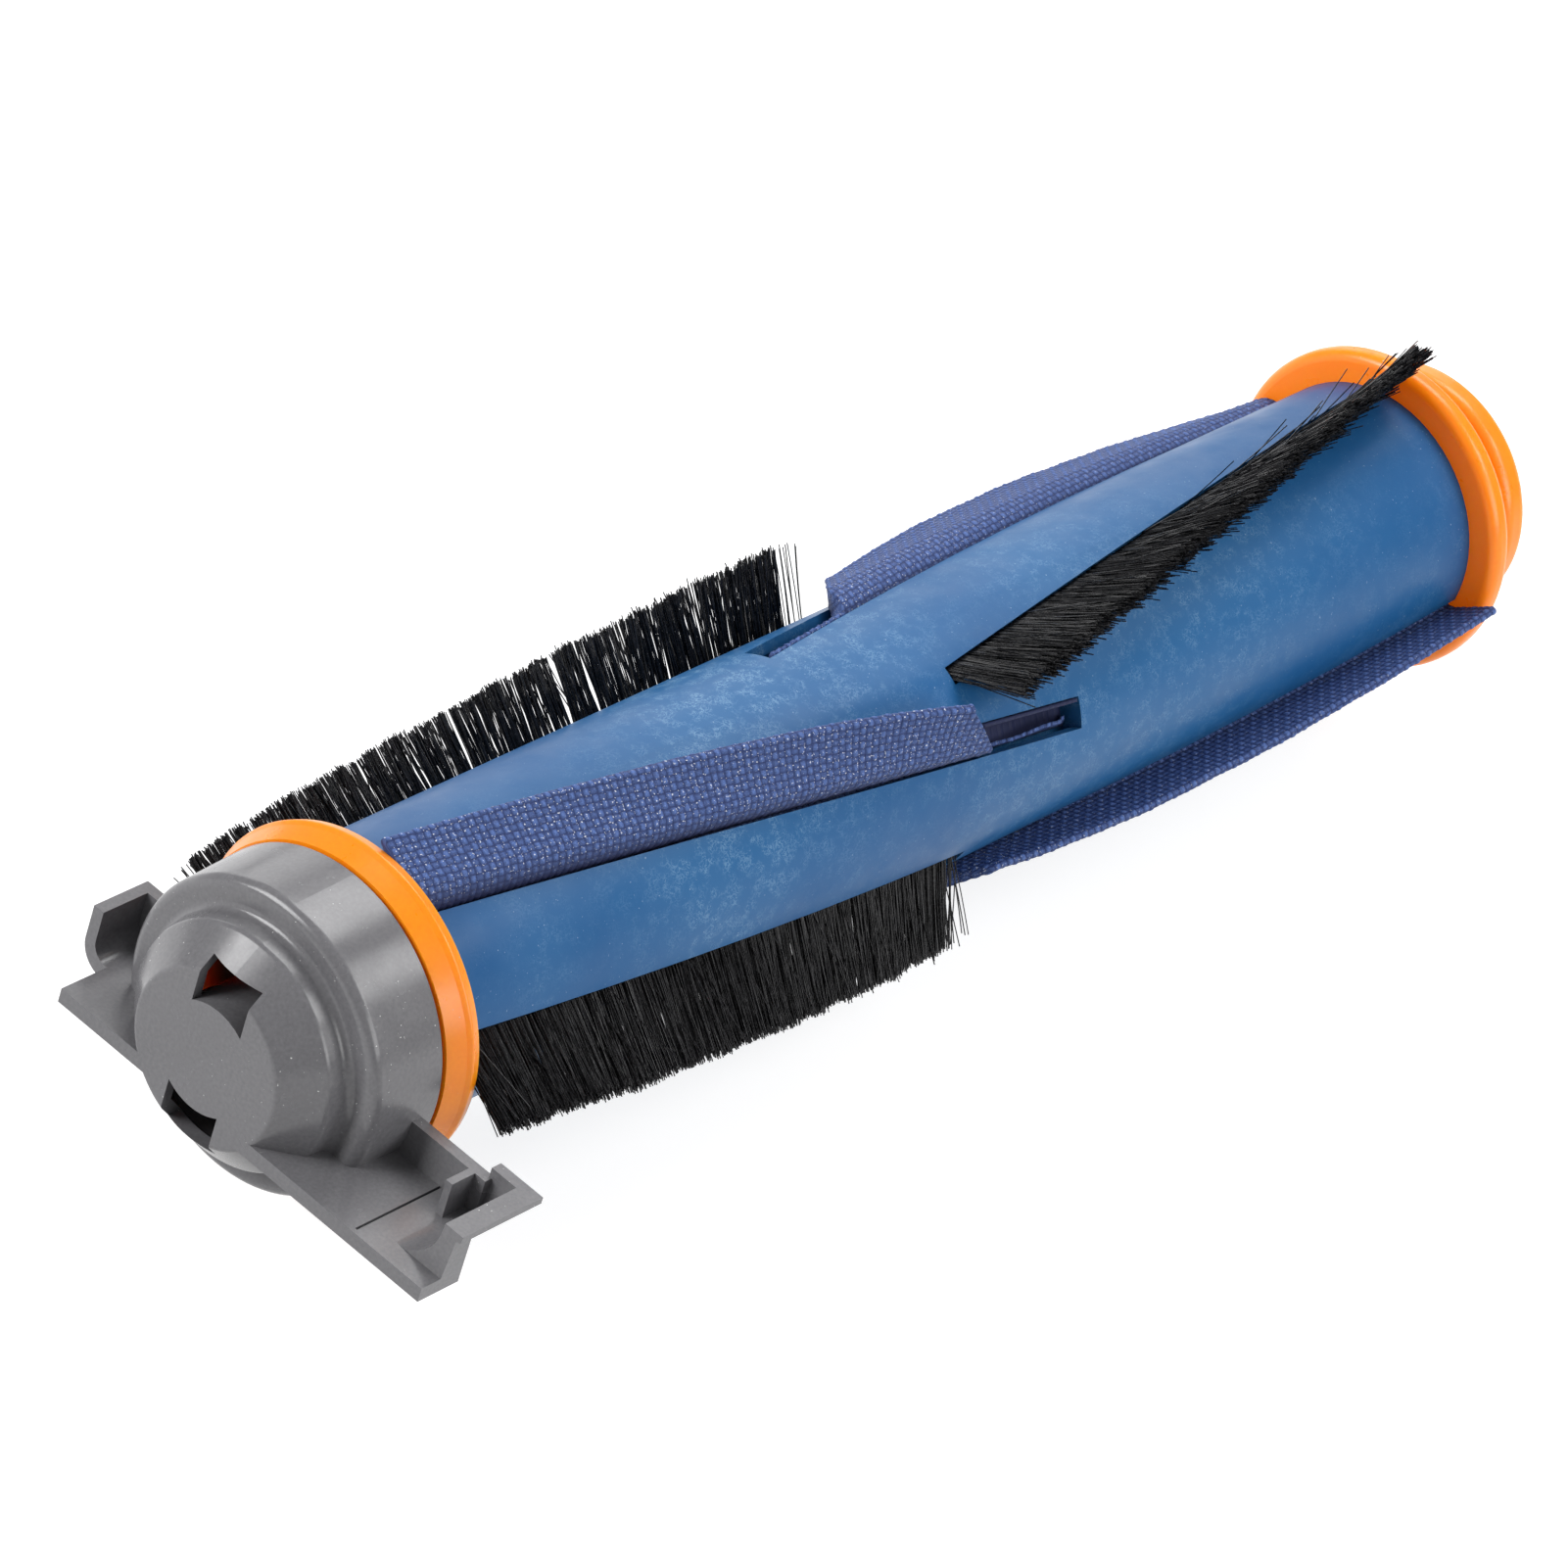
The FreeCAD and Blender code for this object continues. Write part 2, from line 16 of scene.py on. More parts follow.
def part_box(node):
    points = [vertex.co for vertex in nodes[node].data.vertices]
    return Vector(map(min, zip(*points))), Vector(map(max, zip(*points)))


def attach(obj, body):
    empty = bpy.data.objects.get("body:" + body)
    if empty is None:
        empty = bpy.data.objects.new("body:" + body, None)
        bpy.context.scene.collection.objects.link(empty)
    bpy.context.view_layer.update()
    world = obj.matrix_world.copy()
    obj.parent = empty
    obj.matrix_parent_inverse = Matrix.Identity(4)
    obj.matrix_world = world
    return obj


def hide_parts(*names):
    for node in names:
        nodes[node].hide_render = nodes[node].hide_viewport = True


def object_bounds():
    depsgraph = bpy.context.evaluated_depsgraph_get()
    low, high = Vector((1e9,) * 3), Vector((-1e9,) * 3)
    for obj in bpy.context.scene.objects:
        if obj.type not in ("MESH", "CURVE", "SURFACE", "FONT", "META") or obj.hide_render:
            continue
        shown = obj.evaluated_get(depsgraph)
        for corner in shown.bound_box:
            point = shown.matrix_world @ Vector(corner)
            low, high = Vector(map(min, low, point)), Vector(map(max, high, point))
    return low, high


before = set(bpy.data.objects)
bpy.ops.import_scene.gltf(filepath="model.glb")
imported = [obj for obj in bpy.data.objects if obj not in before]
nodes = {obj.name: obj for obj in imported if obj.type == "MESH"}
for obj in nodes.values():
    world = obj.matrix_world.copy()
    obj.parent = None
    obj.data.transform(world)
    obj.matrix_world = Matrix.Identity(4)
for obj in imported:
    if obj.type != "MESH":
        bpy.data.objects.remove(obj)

cad_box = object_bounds()
print("frame has", len(nodes), "nodes")

# %% [markdown]
# ## Camera
# The photograph was taken from far away with a long lens, from above the cap's end. A camera could be aimed
# by eye, but then few edges would fall where the photograph has them. So the view was found by fitting the
# ellipses of both end discs, and the camera is given as a place and two directions.

# %% Camera
MM = 0.001
PHOTO_SIDE = 1601
PHOTO_FOCAL = 9821.68
SENSOR_WIDTH = 36
FURTHEST_SEEN = 20
camera_place = Vector((-847.64, -595.67, 823.26)) * MM
look = Vector((0.690261, 0.424199, -0.58617))
right = Vector((0.653918, -0.712507, 0.254413))
up = right.cross(look)

camera_data = bpy.data.cameras.new("photo_camera")
camera_data.sensor_width = SENSOR_WIDTH
camera_data.lens = SENSOR_WIDTH * PHOTO_FOCAL / PHOTO_SIDE
camera_data.clip_end = FURTHEST_SEEN
camera = bpy.data.objects.new("photo_camera", camera_data)
turn = Matrix((right, up, -look)).transposed().to_4x4()
camera.matrix_world = Matrix.Translation(camera_place) @ turn
bpy.context.collection.objects.link(camera)
scene = bpy.context.scene
scene.camera = camera
scene.view_settings.view_transform = "Standard"
print("lens", round(camera_data.lens, 1), "mm")

# %% [markdown]
# ## Helpers for node trees
# Every finish here is a small tree of nodes. Such a tree could be drawn by hand in the editor, but a script
# can be read and repeated. A few helpers keep it short: one adds a node and sets its inputs, one gives an
# input a socket or a plain value, and one does sums.

# %% Node helpers
WHITE = (1, 1, 1, 1)
BLACK = (0, 0, 0, 1)


def grey(value):
    """An opaque grey."""
    return (value, value, value, 1)


def new_material(name):
    """A material with an empty node tree."""
    material = bpy.data.materials.new(name)
    material.use_nodes = True
    material.node_tree.nodes.clear()
    return material


def add(tree, kind, **settings):
    """Adds a node. Plain words set its properties, and a dict named at sets its input sockets."""
    node = tree.nodes.new(kind)
    for key, value in settings.pop("at", {}).items():
        node.inputs[key].default_value = value
    for key, value in settings.items():
        setattr(node, key, value)
    return node


def feed(tree, value, socket):
    """Gives an input what it reads: another socket, or a plain number or colour."""
    if hasattr(value, "is_linked"):
        tree.links.new(value, socket)
    else:
        socket.default_value = value


def calc(tree, operation, *values):
    """A Math node on values that are sockets or plain numbers."""
    node = add(tree, "ShaderNodeMath", operation=operation)
    for index, value in enumerate(values):
        feed(tree, value, node.inputs[index])
    return node.outputs[0]


def surface(material, shader):
    """Joins a shader to the material's output."""
    output = add(material.node_tree, "ShaderNodeOutputMaterial")
    material.node_tree.links.new(shader.outputs[0], output.inputs["Surface"])


print("helpers for node trees are ready")

# %% [markdown]
# ## Floor
# A product shot on white stands on a seamless sheet of paper. More light would make a floor white, but it
# would bleach the brush too. So the floor is a plain pale grey, and only what the camera and reflections
# see of it gets some extra glow. It then reads as white paper, while it still takes the brush's shadow.

# %% Floor
FLOOR_SIDE = 6.0
FLOOR_DROP = 0.4 * MM
PAPER_TONE = 0.45
PAPER_GLOW = 0.75
floor_height = cad_box[0][2] - FLOOR_DROP
floor_mesh = bpy.data.meshes.new("floor")
half = FLOOR_SIDE / 2
floor_mesh.from_pydata([(-half, -half, floor_height), (half, -half, floor_height),
                        (half, half, floor_height), (-half, half, floor_height)], [], [(0, 1, 2, 3)])
floor = bpy.data.objects.new("floor", floor_mesh)
bpy.context.collection.objects.link(floor)

paper = new_material("white_paper")
tree = paper.node_tree
matte = add(tree, "ShaderNodeBsdfDiffuse", at={"Color": grey(PAPER_TONE)})
glow = add(tree, "ShaderNodeEmission", at={"Color": WHITE})
rays = add(tree, "ShaderNodeLightPath")
seen = calc(tree, "MAXIMUM", rays.outputs["Is Camera Ray"], rays.outputs["Is Glossy Ray"])
both = add(tree, "ShaderNodeAddShader")
tree.links.new(calc(tree, "MULTIPLY", seen, PAPER_GLOW), glow.inputs["Strength"])
tree.links.new(matte.outputs[0], both.inputs[0])
tree.links.new(glow.outputs[0], both.inputs[1])
surface(paper, both)
floor_mesh.materials.append(paper)
print("floor at", round(floor_height, 4))

# %% [markdown]
# ## Studio light
# The photograph has soft light with long, gentle highlights. Sun and point lamps draw hard edges, so five
# area lamps act as soft boxes. The strongest is far to the left, weaker ones are overhead, in front and
# behind, and a small one draws the highlight on the cap's edge. The room is a dim white world that the
# camera sees as full white.

# %% Studio light
ROLLER_MIDDLE = (0.14, 0, 0)
CAP_FRONT = (0, 0, 0)
# Each box has its place, what it faces, its width and height in metres, and its power in watts
SOFT_BOXES = {
    "overhead_box": ((0.68, 0.30, 1.05), ROLLER_MIDDLE, (0.7, 0.6), 8.0),
    "left_box": ((-1.6, 1.30, 1.1), ROLLER_MIDDLE, (1.2, 1.2), 52.0),
    "front_box": ((0.25, -1.2, 0.5), ROLLER_MIDDLE, (1.0, 0.6), 8.0),
    "edge_box": ((0.45, -0.45, 0.60), CAP_FRONT, (0.40, 0.28), 2.2),
    "back_box": ((1.3, 1.2, 0.55), ROLLER_MIDDLE, (1.4, 0.8), 6.0),
}
ROOM_LIGHT = 0.30
ROOM_SEEN = 1.0


def soft_box(name, place, aim, size, power):
    """A rectangular area lamp that faces aim."""
    lamp = bpy.data.lights.new(name, "AREA")
    lamp.energy = power
    lamp.shape = "RECTANGLE"
    lamp.size = size[0]
    lamp.size_y = size[1]
    holder = bpy.data.objects.new(name, lamp)
    holder.location = place
    holder.rotation_euler = (Vector(aim) - Vector(place)).to_track_quat("-Z", "Y").to_euler()
    bpy.context.collection.objects.link(holder)


for name, box in SOFT_BOXES.items():
    soft_box(name, *box)

world = bpy.data.worlds.new("studio")
world.use_nodes = True
tree = world.node_tree
sky = tree.nodes["Background"]
sky.inputs["Color"].default_value = WHITE
room_ray = add(tree, "ShaderNodeLightPath").outputs["Is Camera Ray"]
room = calc(tree, "MULTIPLY_ADD", room_ray, ROOM_SEEN - ROOM_LIGHT, ROOM_LIGHT)
tree.links.new(room, sky.inputs["Strength"])
scene.world = world
print(len(SOFT_BOXES), "soft boxes and a pale room")

# %% [markdown]
# ## Patterns
# A finish is never one flat colour. Pictures of plastic would show seams and repeat, so the patterns here
# are noises, cut to a range by a colour ramp. They read Object coordinates, so a pattern stays on its piece
# when the roller turns.

# %% Pattern helpers
def ramp_between(tree, factor, low, high, stops=(0.0, 1.0)):
    """A colour ramp from low to high, driven by a factor socket."""
    ramp = add(tree, "ShaderNodeValToRGB")
    ramp.color_ramp.elements[0].position = stops[0]
    ramp.color_ramp.elements[0].color = low
    ramp.color_ramp.elements[1].position = stops[1]
    ramp.color_ramp.elements[1].color = high
    tree.links.new(factor, ramp.inputs["Fac"])
    return ramp.outputs["Color"]


def noise(tree, place, scale, detail=3.0, distortion=0.0):
    """A noise at this place. Its scale is the number of its patches in a metre."""
    node = add(tree, "ShaderNodeTexNoise", at={"Scale": scale, "Detail": detail, "Distortion": distortion})
    tree.links.new(place, node.inputs["Vector"])
    return node.outputs["Fac"]


def noise_between(tree, place, scale, detail, low, high, stops):
    """A noise whose range between two stops runs from the colour low to the colour high."""
    return ramp_between(tree, noise(tree, place, scale, detail), low, high, stops)


def mixed(tree, factor, first, second):
    """Mixes two colours, each a socket or a plain colour."""
    mix = add(tree, "ShaderNodeMix", data_type="RGBA")
    for value, key in ((factor, 0), (first, 6), (second, 7)):
        feed(tree, value, mix.inputs[key])
    return mix.outputs[2]


def bump(tree, height, strength, distance, shader):
    """Gives a shader small bumps of this height."""
    node = add(tree, "ShaderNodeBump", at={"Strength": strength, "Distance": distance})
    tree.links.new(height, node.inputs["Height"])
    tree.links.new(node.outputs["Normal"], shader.inputs["Normal"])


def split(tree, vector):
    """The X, Y and Z sockets of a vector."""
    node = add(tree, "ShaderNodeSeparateXYZ")
    tree.links.new(vector, node.inputs[0])
    return node.outputs


def off_axis(tree, place):
    """How far a place lies from the roller's axis, which is X."""
    sides = split(tree, place)
    squared = calc(tree, "MULTIPLY", sides["Y"], sides["Y"])
    return calc(tree, "SQRT", calc(tree, "MULTIPLY_ADD", sides["Z"], sides["Z"], squared))


print("helpers for patterns are ready")

# %% [markdown]
# ## Moulded plastics
# The cap, the discs and the backing bands are injection moulded. Such parts show a fine grain, a soft
# highlight and some dust, so their finishes share one recipe: a base colour that drifts a little, sparse
# pale specks, and a small bump. The orange also lets some light through. The far cap's orange has a
# painted glow, an emission in its own colour that keeps its shaded side bright. The near disc's face
# inside the cap is painted dark towards the axis, as painted shade where it shows through the windows.

# %% Plastic finish
DUST_COLOUR = (0.75, 0.75, 0.74, 1)
PAINTED_SHADE_COLOUR = (0.20, 0.055, 0.015, 1)
FINE_SHARE = 0.7
COARSE_SHARE = 0.3
GRAIN_HEIGHT = 0.04 * MM
LIGHT_REACH = 15 * MM
LIGHT_REACH_BY_COLOUR = (1.0, 0.30, 0.04)


def moulded(name, colour, darker, roughness, specks, grain,
            glow_through=0.0, painted_glow=0.0, painted_shade_reach=0.0):
    """Moulded plastic with drifting colour, dust and a fine grain, a painted glow if asked, and painted shade
    near the axis.
    """
    material = new_material(name)
    tree = material.node_tree
    place = add(tree, "ShaderNodeTexCoord").outputs["Object"]
    # The emission is a painted glow in the plastic's own colour, which keeps a shaded side bright.
    shader = add(tree, "ShaderNodeBsdfPrincipled", at={
        "IOR": 1.5, "Subsurface Weight": glow_through, "Subsurface Radius": LIGHT_REACH_BY_COLOUR,
        "Subsurface Scale": LIGHT_REACH, "Emission Color": colour, "Emission Strength": painted_glow})
    coarse = noise(tree, place, scale=70.0, detail=4.0)
    fine = noise(tree, place, scale=1700.0, detail=3.0)
    grained = calc(tree, "MULTIPLY_ADD", fine, FINE_SHARE, calc(tree, "MULTIPLY", coarse, COARSE_SHARE))
    drift = ramp_between(tree, grained, darker, colour, stops=(0.35, 0.65))
    dust = noise_between(tree, place, 2300.0, 1.0, BLACK, WHITE, stops=specks)
    patches = noise_between(tree, place, 55.0, 2.0, BLACK, WHITE, stops=(0.46, 0.62))
    shown = mixed(tree, calc(tree, "MULTIPLY", dust, patches), drift, DUST_COLOUR)
    # Painted shade: the colour turns dark within this reach of the axis, for the shade inside the cap.
    if painted_shade_reach:
        reached = calc(tree, "DIVIDE", off_axis(tree, place), painted_shade_reach)
        painted_shade = ramp_between(tree, reached, WHITE, BLACK, stops=(0.82, 1.0))
        shown = mixed(tree, painted_shade, shown, PAINTED_SHADE_COLOUR)
    tree.links.new(shown, shader.inputs["Base Color"])
    sheen = noise_between(tree, place, 220.0, 5.0, grey(roughness[0]), grey(roughness[1]), stops=(0.3, 0.7))
    tree.links.new(sheen, shader.inputs["Roughness"])
    bump(tree, noise(tree, place, scale=2600.0, detail=2.0), grain, GRAIN_HEIGHT, shader)
    surface(material, shader)
    return material


grey_plastic = moulded("grey_plastic", (0.152, 0.150, 0.159, 1), (0.124, 0.122, 0.130, 1),
                       roughness=(0.20, 0.28), specks=(0.75, 0.79), grain=0.06)
# The far cap's orange gets a painted glow, which keeps its shaded side bright.
orange_plastic = moulded("orange_plastic", (1.0, 0.240, 0.003, 1), (0.96, 0.215, 0.002, 1),
                         roughness=(0.26, 0.36), specks=(0.80, 0.84), grain=0.06,
                         glow_through=0.35, painted_glow=0.14)
# The near disc's face inside the cap gets painted shade, which shows through the cap's windows.
near_orange = moulded("near_orange_plastic", (1.0, 0.255, 0.003, 1), (0.96, 0.228, 0.002, 1),
                      roughness=(0.26, 0.36), specks=(0.80, 0.84), grain=0.06,
                      glow_through=0.35, painted_shade_reach=21.5 * MM)
black_backing = moulded("black_backing", (0.018, 0.018, 0.020, 1), (0.010, 0.010, 0.011, 1),
                        roughness=(0.45, 0.6), specks=(0.86, 0.9), grain=0.1)
print(grey_plastic.name, orange_plastic.name, near_orange.name, black_backing.name)

# %% [markdown]
# ## Pearly blue roller
# The roller's blue plastic has flow marks: milky clouds and curly pale fibres that the melt left as it
# filled the mould. Drawn curves would take hundreds of strokes, so a fibre is the line where a noise passes
# its middle value, which gives thin curls of one width. Two sets of them lie over each other. They are
# strongest where the clouds are palest, and near the gate, where the melt came in.

# %% Blue plastic
GATE_PLACE = 118 * MM
GATE_REACH = 55 * MM
MILK_AT_GATE = 0.9
MILK_ELSEWHERE = 0.8
DEEP_BLUE = (0.006, 0.077, 0.226, 1)
CLOUD_BLUE = (0.017, 0.110, 0.274, 1)
MILK_BLUE = (0.20, 0.36, 0.53, 1)
DUST_BLUE = (0.36, 0.50, 0.64, 1)


def curls(tree, place, scale, width):
    """Thin curly lines, where a noise is within width of its middle value."""
    value = noise(tree, place, scale, detail=2.0, distortion=0.5)
    off_middle = calc(tree, "ABSOLUTE", calc(tree, "SUBTRACT", value, 0.5))
    return ramp_between(tree, off_middle, WHITE, BLACK, stops=(0.0, width))


def milk_by_gate(tree, place):
    """How milky the plastic is at this place, from its distance to the gate."""
    from_gate = calc(tree, "ABSOLUTE", calc(tree, "SUBTRACT", split(tree, place)["X"], GATE_PLACE))
    closeness = calc(tree, "SUBTRACT", 1.0, calc(tree, "DIVIDE", from_gate, GATE_REACH))
    return calc(tree, "MULTIPLY_ADD", calc(tree, "MAXIMUM", closeness, 0.0), MILK_AT_GATE, MILK_ELSEWHERE)


def pearly_blue():
    """Blue plastic with milky curls and a little dust."""
    material = new_material("blue_plastic")
    tree = material.node_tree
    place = add(tree, "ShaderNodeTexCoord").outputs["Object"]
    shader = add(tree, "ShaderNodeBsdfPrincipled", at={"IOR": 1.36})
    clouds = noise(tree, place, scale=17.0, detail=6.0, distortion=0.5)
    base = ramp_between(tree, clouds, DEEP_BLUE, CLOUD_BLUE, stops=(0.38, 0.68))
    thick = ramp_between(tree, clouds, grey(0.06), grey(0.46), stops=(0.50, 0.72))
    broken = noise_between(tree, place, 420.0, 2.0, BLACK, WHITE, stops=(0.42, 0.60))
    fibres = calc(tree, "MAXIMUM", curls(tree, place, scale=860.0, width=0.034),
                  curls(tree, place, scale=1500.0, width=0.042))
    shown = calc(tree, "MULTIPLY", calc(tree, "MULTIPLY", fibres, broken), thick)
    shown = calc(tree, "MULTIPLY", shown, milk_by_gate(tree, place))
    milky = mixed(tree, shown, base, MILK_BLUE)
    dust = noise_between(tree, place, 2400.0, 1.0, BLACK, grey(0.45), stops=(0.74, 0.80))
    tree.links.new(mixed(tree, dust, milky, DUST_BLUE), shader.inputs["Base Color"])
    sheen = noise_between(tree, place, 160.0, 5.0, grey(0.34), grey(0.48), stops=(0.3, 0.7))
    tree.links.new(sheen, shader.inputs["Roughness"])
    bump(tree, noise(tree, place, scale=2200.0, detail=2.0), 0.10, GRAIN_HEIGHT, shader)
    surface(material, shader)
    return material


blue_plastic = pearly_blue()
print(blue_plastic.name)

# %% [markdown]
# ## Steel, and all rigid pieces
# The bearing and its pin are ground steel, turned on a lathe, so fine rings run round the axis. A noise
# gives them when it is squeezed along X. Little of the steel shows through the cap's windows, but every
# piece gets its own finish, because the part is also looked at from behind and taken apart.

# %% Steel finish
DARK_RING = 0.8
SMOOTH_RING = 0.7
ROUGH_RING = 1.3
RING_HEIGHT = 0.02 * MM


def turned_steel(name, colour, roughness):
    """Steel with fine rings from the lathe."""
    material = new_material(name)
    tree = material.node_tree
    place = add(tree, "ShaderNodeTexCoord").outputs["Object"]
    shader = add(tree, "ShaderNodeBsdfPrincipled", at={"Metallic": 1.0})
    squeezed = add(tree, "ShaderNodeMapping", at={"Scale": (8.0, 0.4, 0.4)})
    tree.links.new(place, squeezed.inputs["Vector"])
    rings = noise(tree, squeezed.outputs[0], scale=900.0, detail=3.0)
    darker = tuple(DARK_RING * part for part in colour)
    tone = ramp_between(tree, rings, darker + (1,), colour + (1,), stops=(0.35, 0.65))
    tree.links.new(tone, shader.inputs["Base Color"])
    smooth = grey(roughness * SMOOTH_RING)
    rough = grey(roughness * ROUGH_RING)
    sheen = ramp_between(tree, rings, smooth, rough, stops=(0.3, 0.7))
    tree.links.new(sheen, shader.inputs["Roughness"])
    bump(tree, rings, 0.15, RING_HEIGHT, shader)
    surface(material, shader)
    return material


bearing_steel = turned_steel("bearing_steel", (0.70, 0.70, 0.71), roughness=0.18)
axle_steel = turned_steel("axle_steel", (0.56, 0.56, 0.57), roughness=0.34)
print(bearing_steel.name, axle_steel.name)

# %% Finish the rigid pieces
finishes = {"end_cap": grey_plastic, "near_end_disc": near_orange, "drive_end_cap": orange_plastic,
            "roller_core": blue_plastic, "axle_pin": axle_steel}
finished = []
for name, node in nodes.items():
    finish = finishes.get(name)
    if name.startswith("bearing"):
        finish = bearing_steel
    if name.startswith("bristle_backing"):
        finish = black_backing
    if finish:
        node.data.materials.clear()
        node.data.materials.append(finish)
        finished.append(name)
print("finished", len(finished), "rigid pieces")

# %% [markdown]
# ## Where the strips lie
# Each strip follows a helix on the roller, and the far half's helix turns the other way, which makes the
# chevron. A curve object could carry the strips, but its own twist would have to be corrected. So a point
# of a strip is given by its place along X, how far it lies across the slot, and how far out it lies, and is
# then turned about the axis.

# %% Strip layout
core_low, core_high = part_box("roller_core")
CORE_RADIUS = core_high[1]
CORE_START = core_low[0]
CORE_END = core_high[0]
CORE_MIDDLE = (CORE_START + CORE_END) / 2
TURN_PER_METRE = math.radians(340)
FIRST_FABRIC = math.radians(144.4)
BRISTLE_AFTER_FABRIC = math.radians(60)
FAR_AFTER_NEAR = math.radians(90)
SLIDE_GAP = 0.15 * MM
FAR_FABRIC_PAST_MIDDLE = 5.0 * MM
FAR_BRISTLE_PAST_MIDDLE = 2.0 * MM


def strip_name(near_half, copy):
    """The end of a strip's name, as its node has it."""
    return ("near_" if near_half else "far_") + str(copy + 1)


def strip_turn(near_half, bristle, copy):
    """Angle of a strip at the roller's middle, and its change for each metre along X."""
    angle = FIRST_FABRIC + math.pi * copy
    if bristle:
        angle += BRISTLE_AFTER_FABRIC
    if near_half:
        return angle, TURN_PER_METRE
    return angle + FAR_AFTER_NEAR, -TURN_PER_METRE


def strip_ends(near_half, bristle):
    """X of a strip's inner end, near the roller's middle, and of its end at the disc."""
    if near_half:
        return CORE_MIDDLE - SLIDE_GAP, CORE_START + SLIDE_GAP
    past_middle = FAR_BRISTLE_PAST_MIDDLE if bristle else FAR_FABRIC_PAST_MIDDLE
    return CORE_MIDDLE - past_middle + SLIDE_GAP, CORE_END - SLIDE_GAP


def about_axis(x, angle, across, out):
    """Points in space from arrays of x, angle, across and out."""
    y = out * np.cos(angle) - across * np.sin(angle)
    z = out * np.sin(angle) + across * np.cos(angle)
    return np.stack([x, y, z], axis=-1)


print("roller", round(CORE_START, 4), "to", round(CORE_END, 4), "radius", round(CORE_RADIUS, 4))

# %% [markdown]
# ## Woven fabric
# Each blade is a strip of coarse plain-woven cloth, folded round a foot that slides into the slot. In a
# plain weave each yarn goes over one neighbour and under the next, so the cloth is a chequer of small
# humps: on one field the warp is on top and its hump is long across the blade, and on the next the weft is,
# and it lies deeper. A picture of cloth could be laid on, but the yarns are over a millimetre wide, so
# their relief is modelled in the mesh, where it also shows on the blade's edge. The map coordinates count
# yarns, so the mesh and the material agree on where each yarn lies. The material draws the same chequer
# in painted light and shade, lighter on the humps and darker in the gaps and on the deeper weft. It adds
# fine fibres, pale flecks that are partly dust and partly painted glints, and the painted shade of the
# fold that sinks into the slot.

# %% Weave
YARN_ACROSS = 1.12 * MM
YARN_ALONG = 1.28 * MM
WEFT_DEPTH = 0.6
HUMP_LONG = 0.4
HUMP_NARROW = 0.9


def weave_nodes(tree, across, along):
    """Height of the weave, from 0 to 1, where these counts of yarns are sockets."""
    side_across = calc(tree, "SINE", calc(tree, "MULTIPLY", calc(tree, "FRACT", across), math.pi))
    side_along = calc(tree, "SINE", calc(tree, "MULTIPLY", calc(tree, "FRACT", along), math.pi))
    field = calc(tree, "ADD", calc(tree, "FLOOR", across), calc(tree, "FLOOR", along))
    weft = calc(tree, "FLOORED_MODULO", field, 2.0)
    warp_hump = calc(tree, "MULTIPLY", calc(tree, "POWER", side_across, HUMP_LONG),
                     calc(tree, "POWER", side_along, HUMP_NARROW))
    weft_hump = calc(tree, "MULTIPLY", calc(tree, "POWER", side_across, HUMP_NARROW),
                     calc(tree, "POWER", side_along, HUMP_LONG))
    low = calc(tree, "MULTIPLY", calc(tree, "MULTIPLY", weft_hump, weft), WEFT_DEPTH)
    return calc(tree, "MULTIPLY_ADD", warp_hump, calc(tree, "SUBTRACT", 1.0, weft), low)


print("yarns lie", round(YARN_ACROSS / MM, 2), "and", round(YARN_ALONG / MM, 2), "mm apart")

# %% Fabric finish
YARN_SHADED = (0.019, 0.037, 0.135, 1)
YARN_LIT = (0.094, 0.166, 0.420, 1)
YARN_WORN = (0.46, 0.46, 0.50, 1)
FLECK_AND_GLINT_COLOUR = (0.70, 0.73, 0.80, 1)
FOLD_SHADE = (0.012, 0.017, 0.060, 1)
FOLD_YARNS = 10.0
FIBRE_SHARE = 0.25
WEAVE_HEIGHT = 0.2 * MM


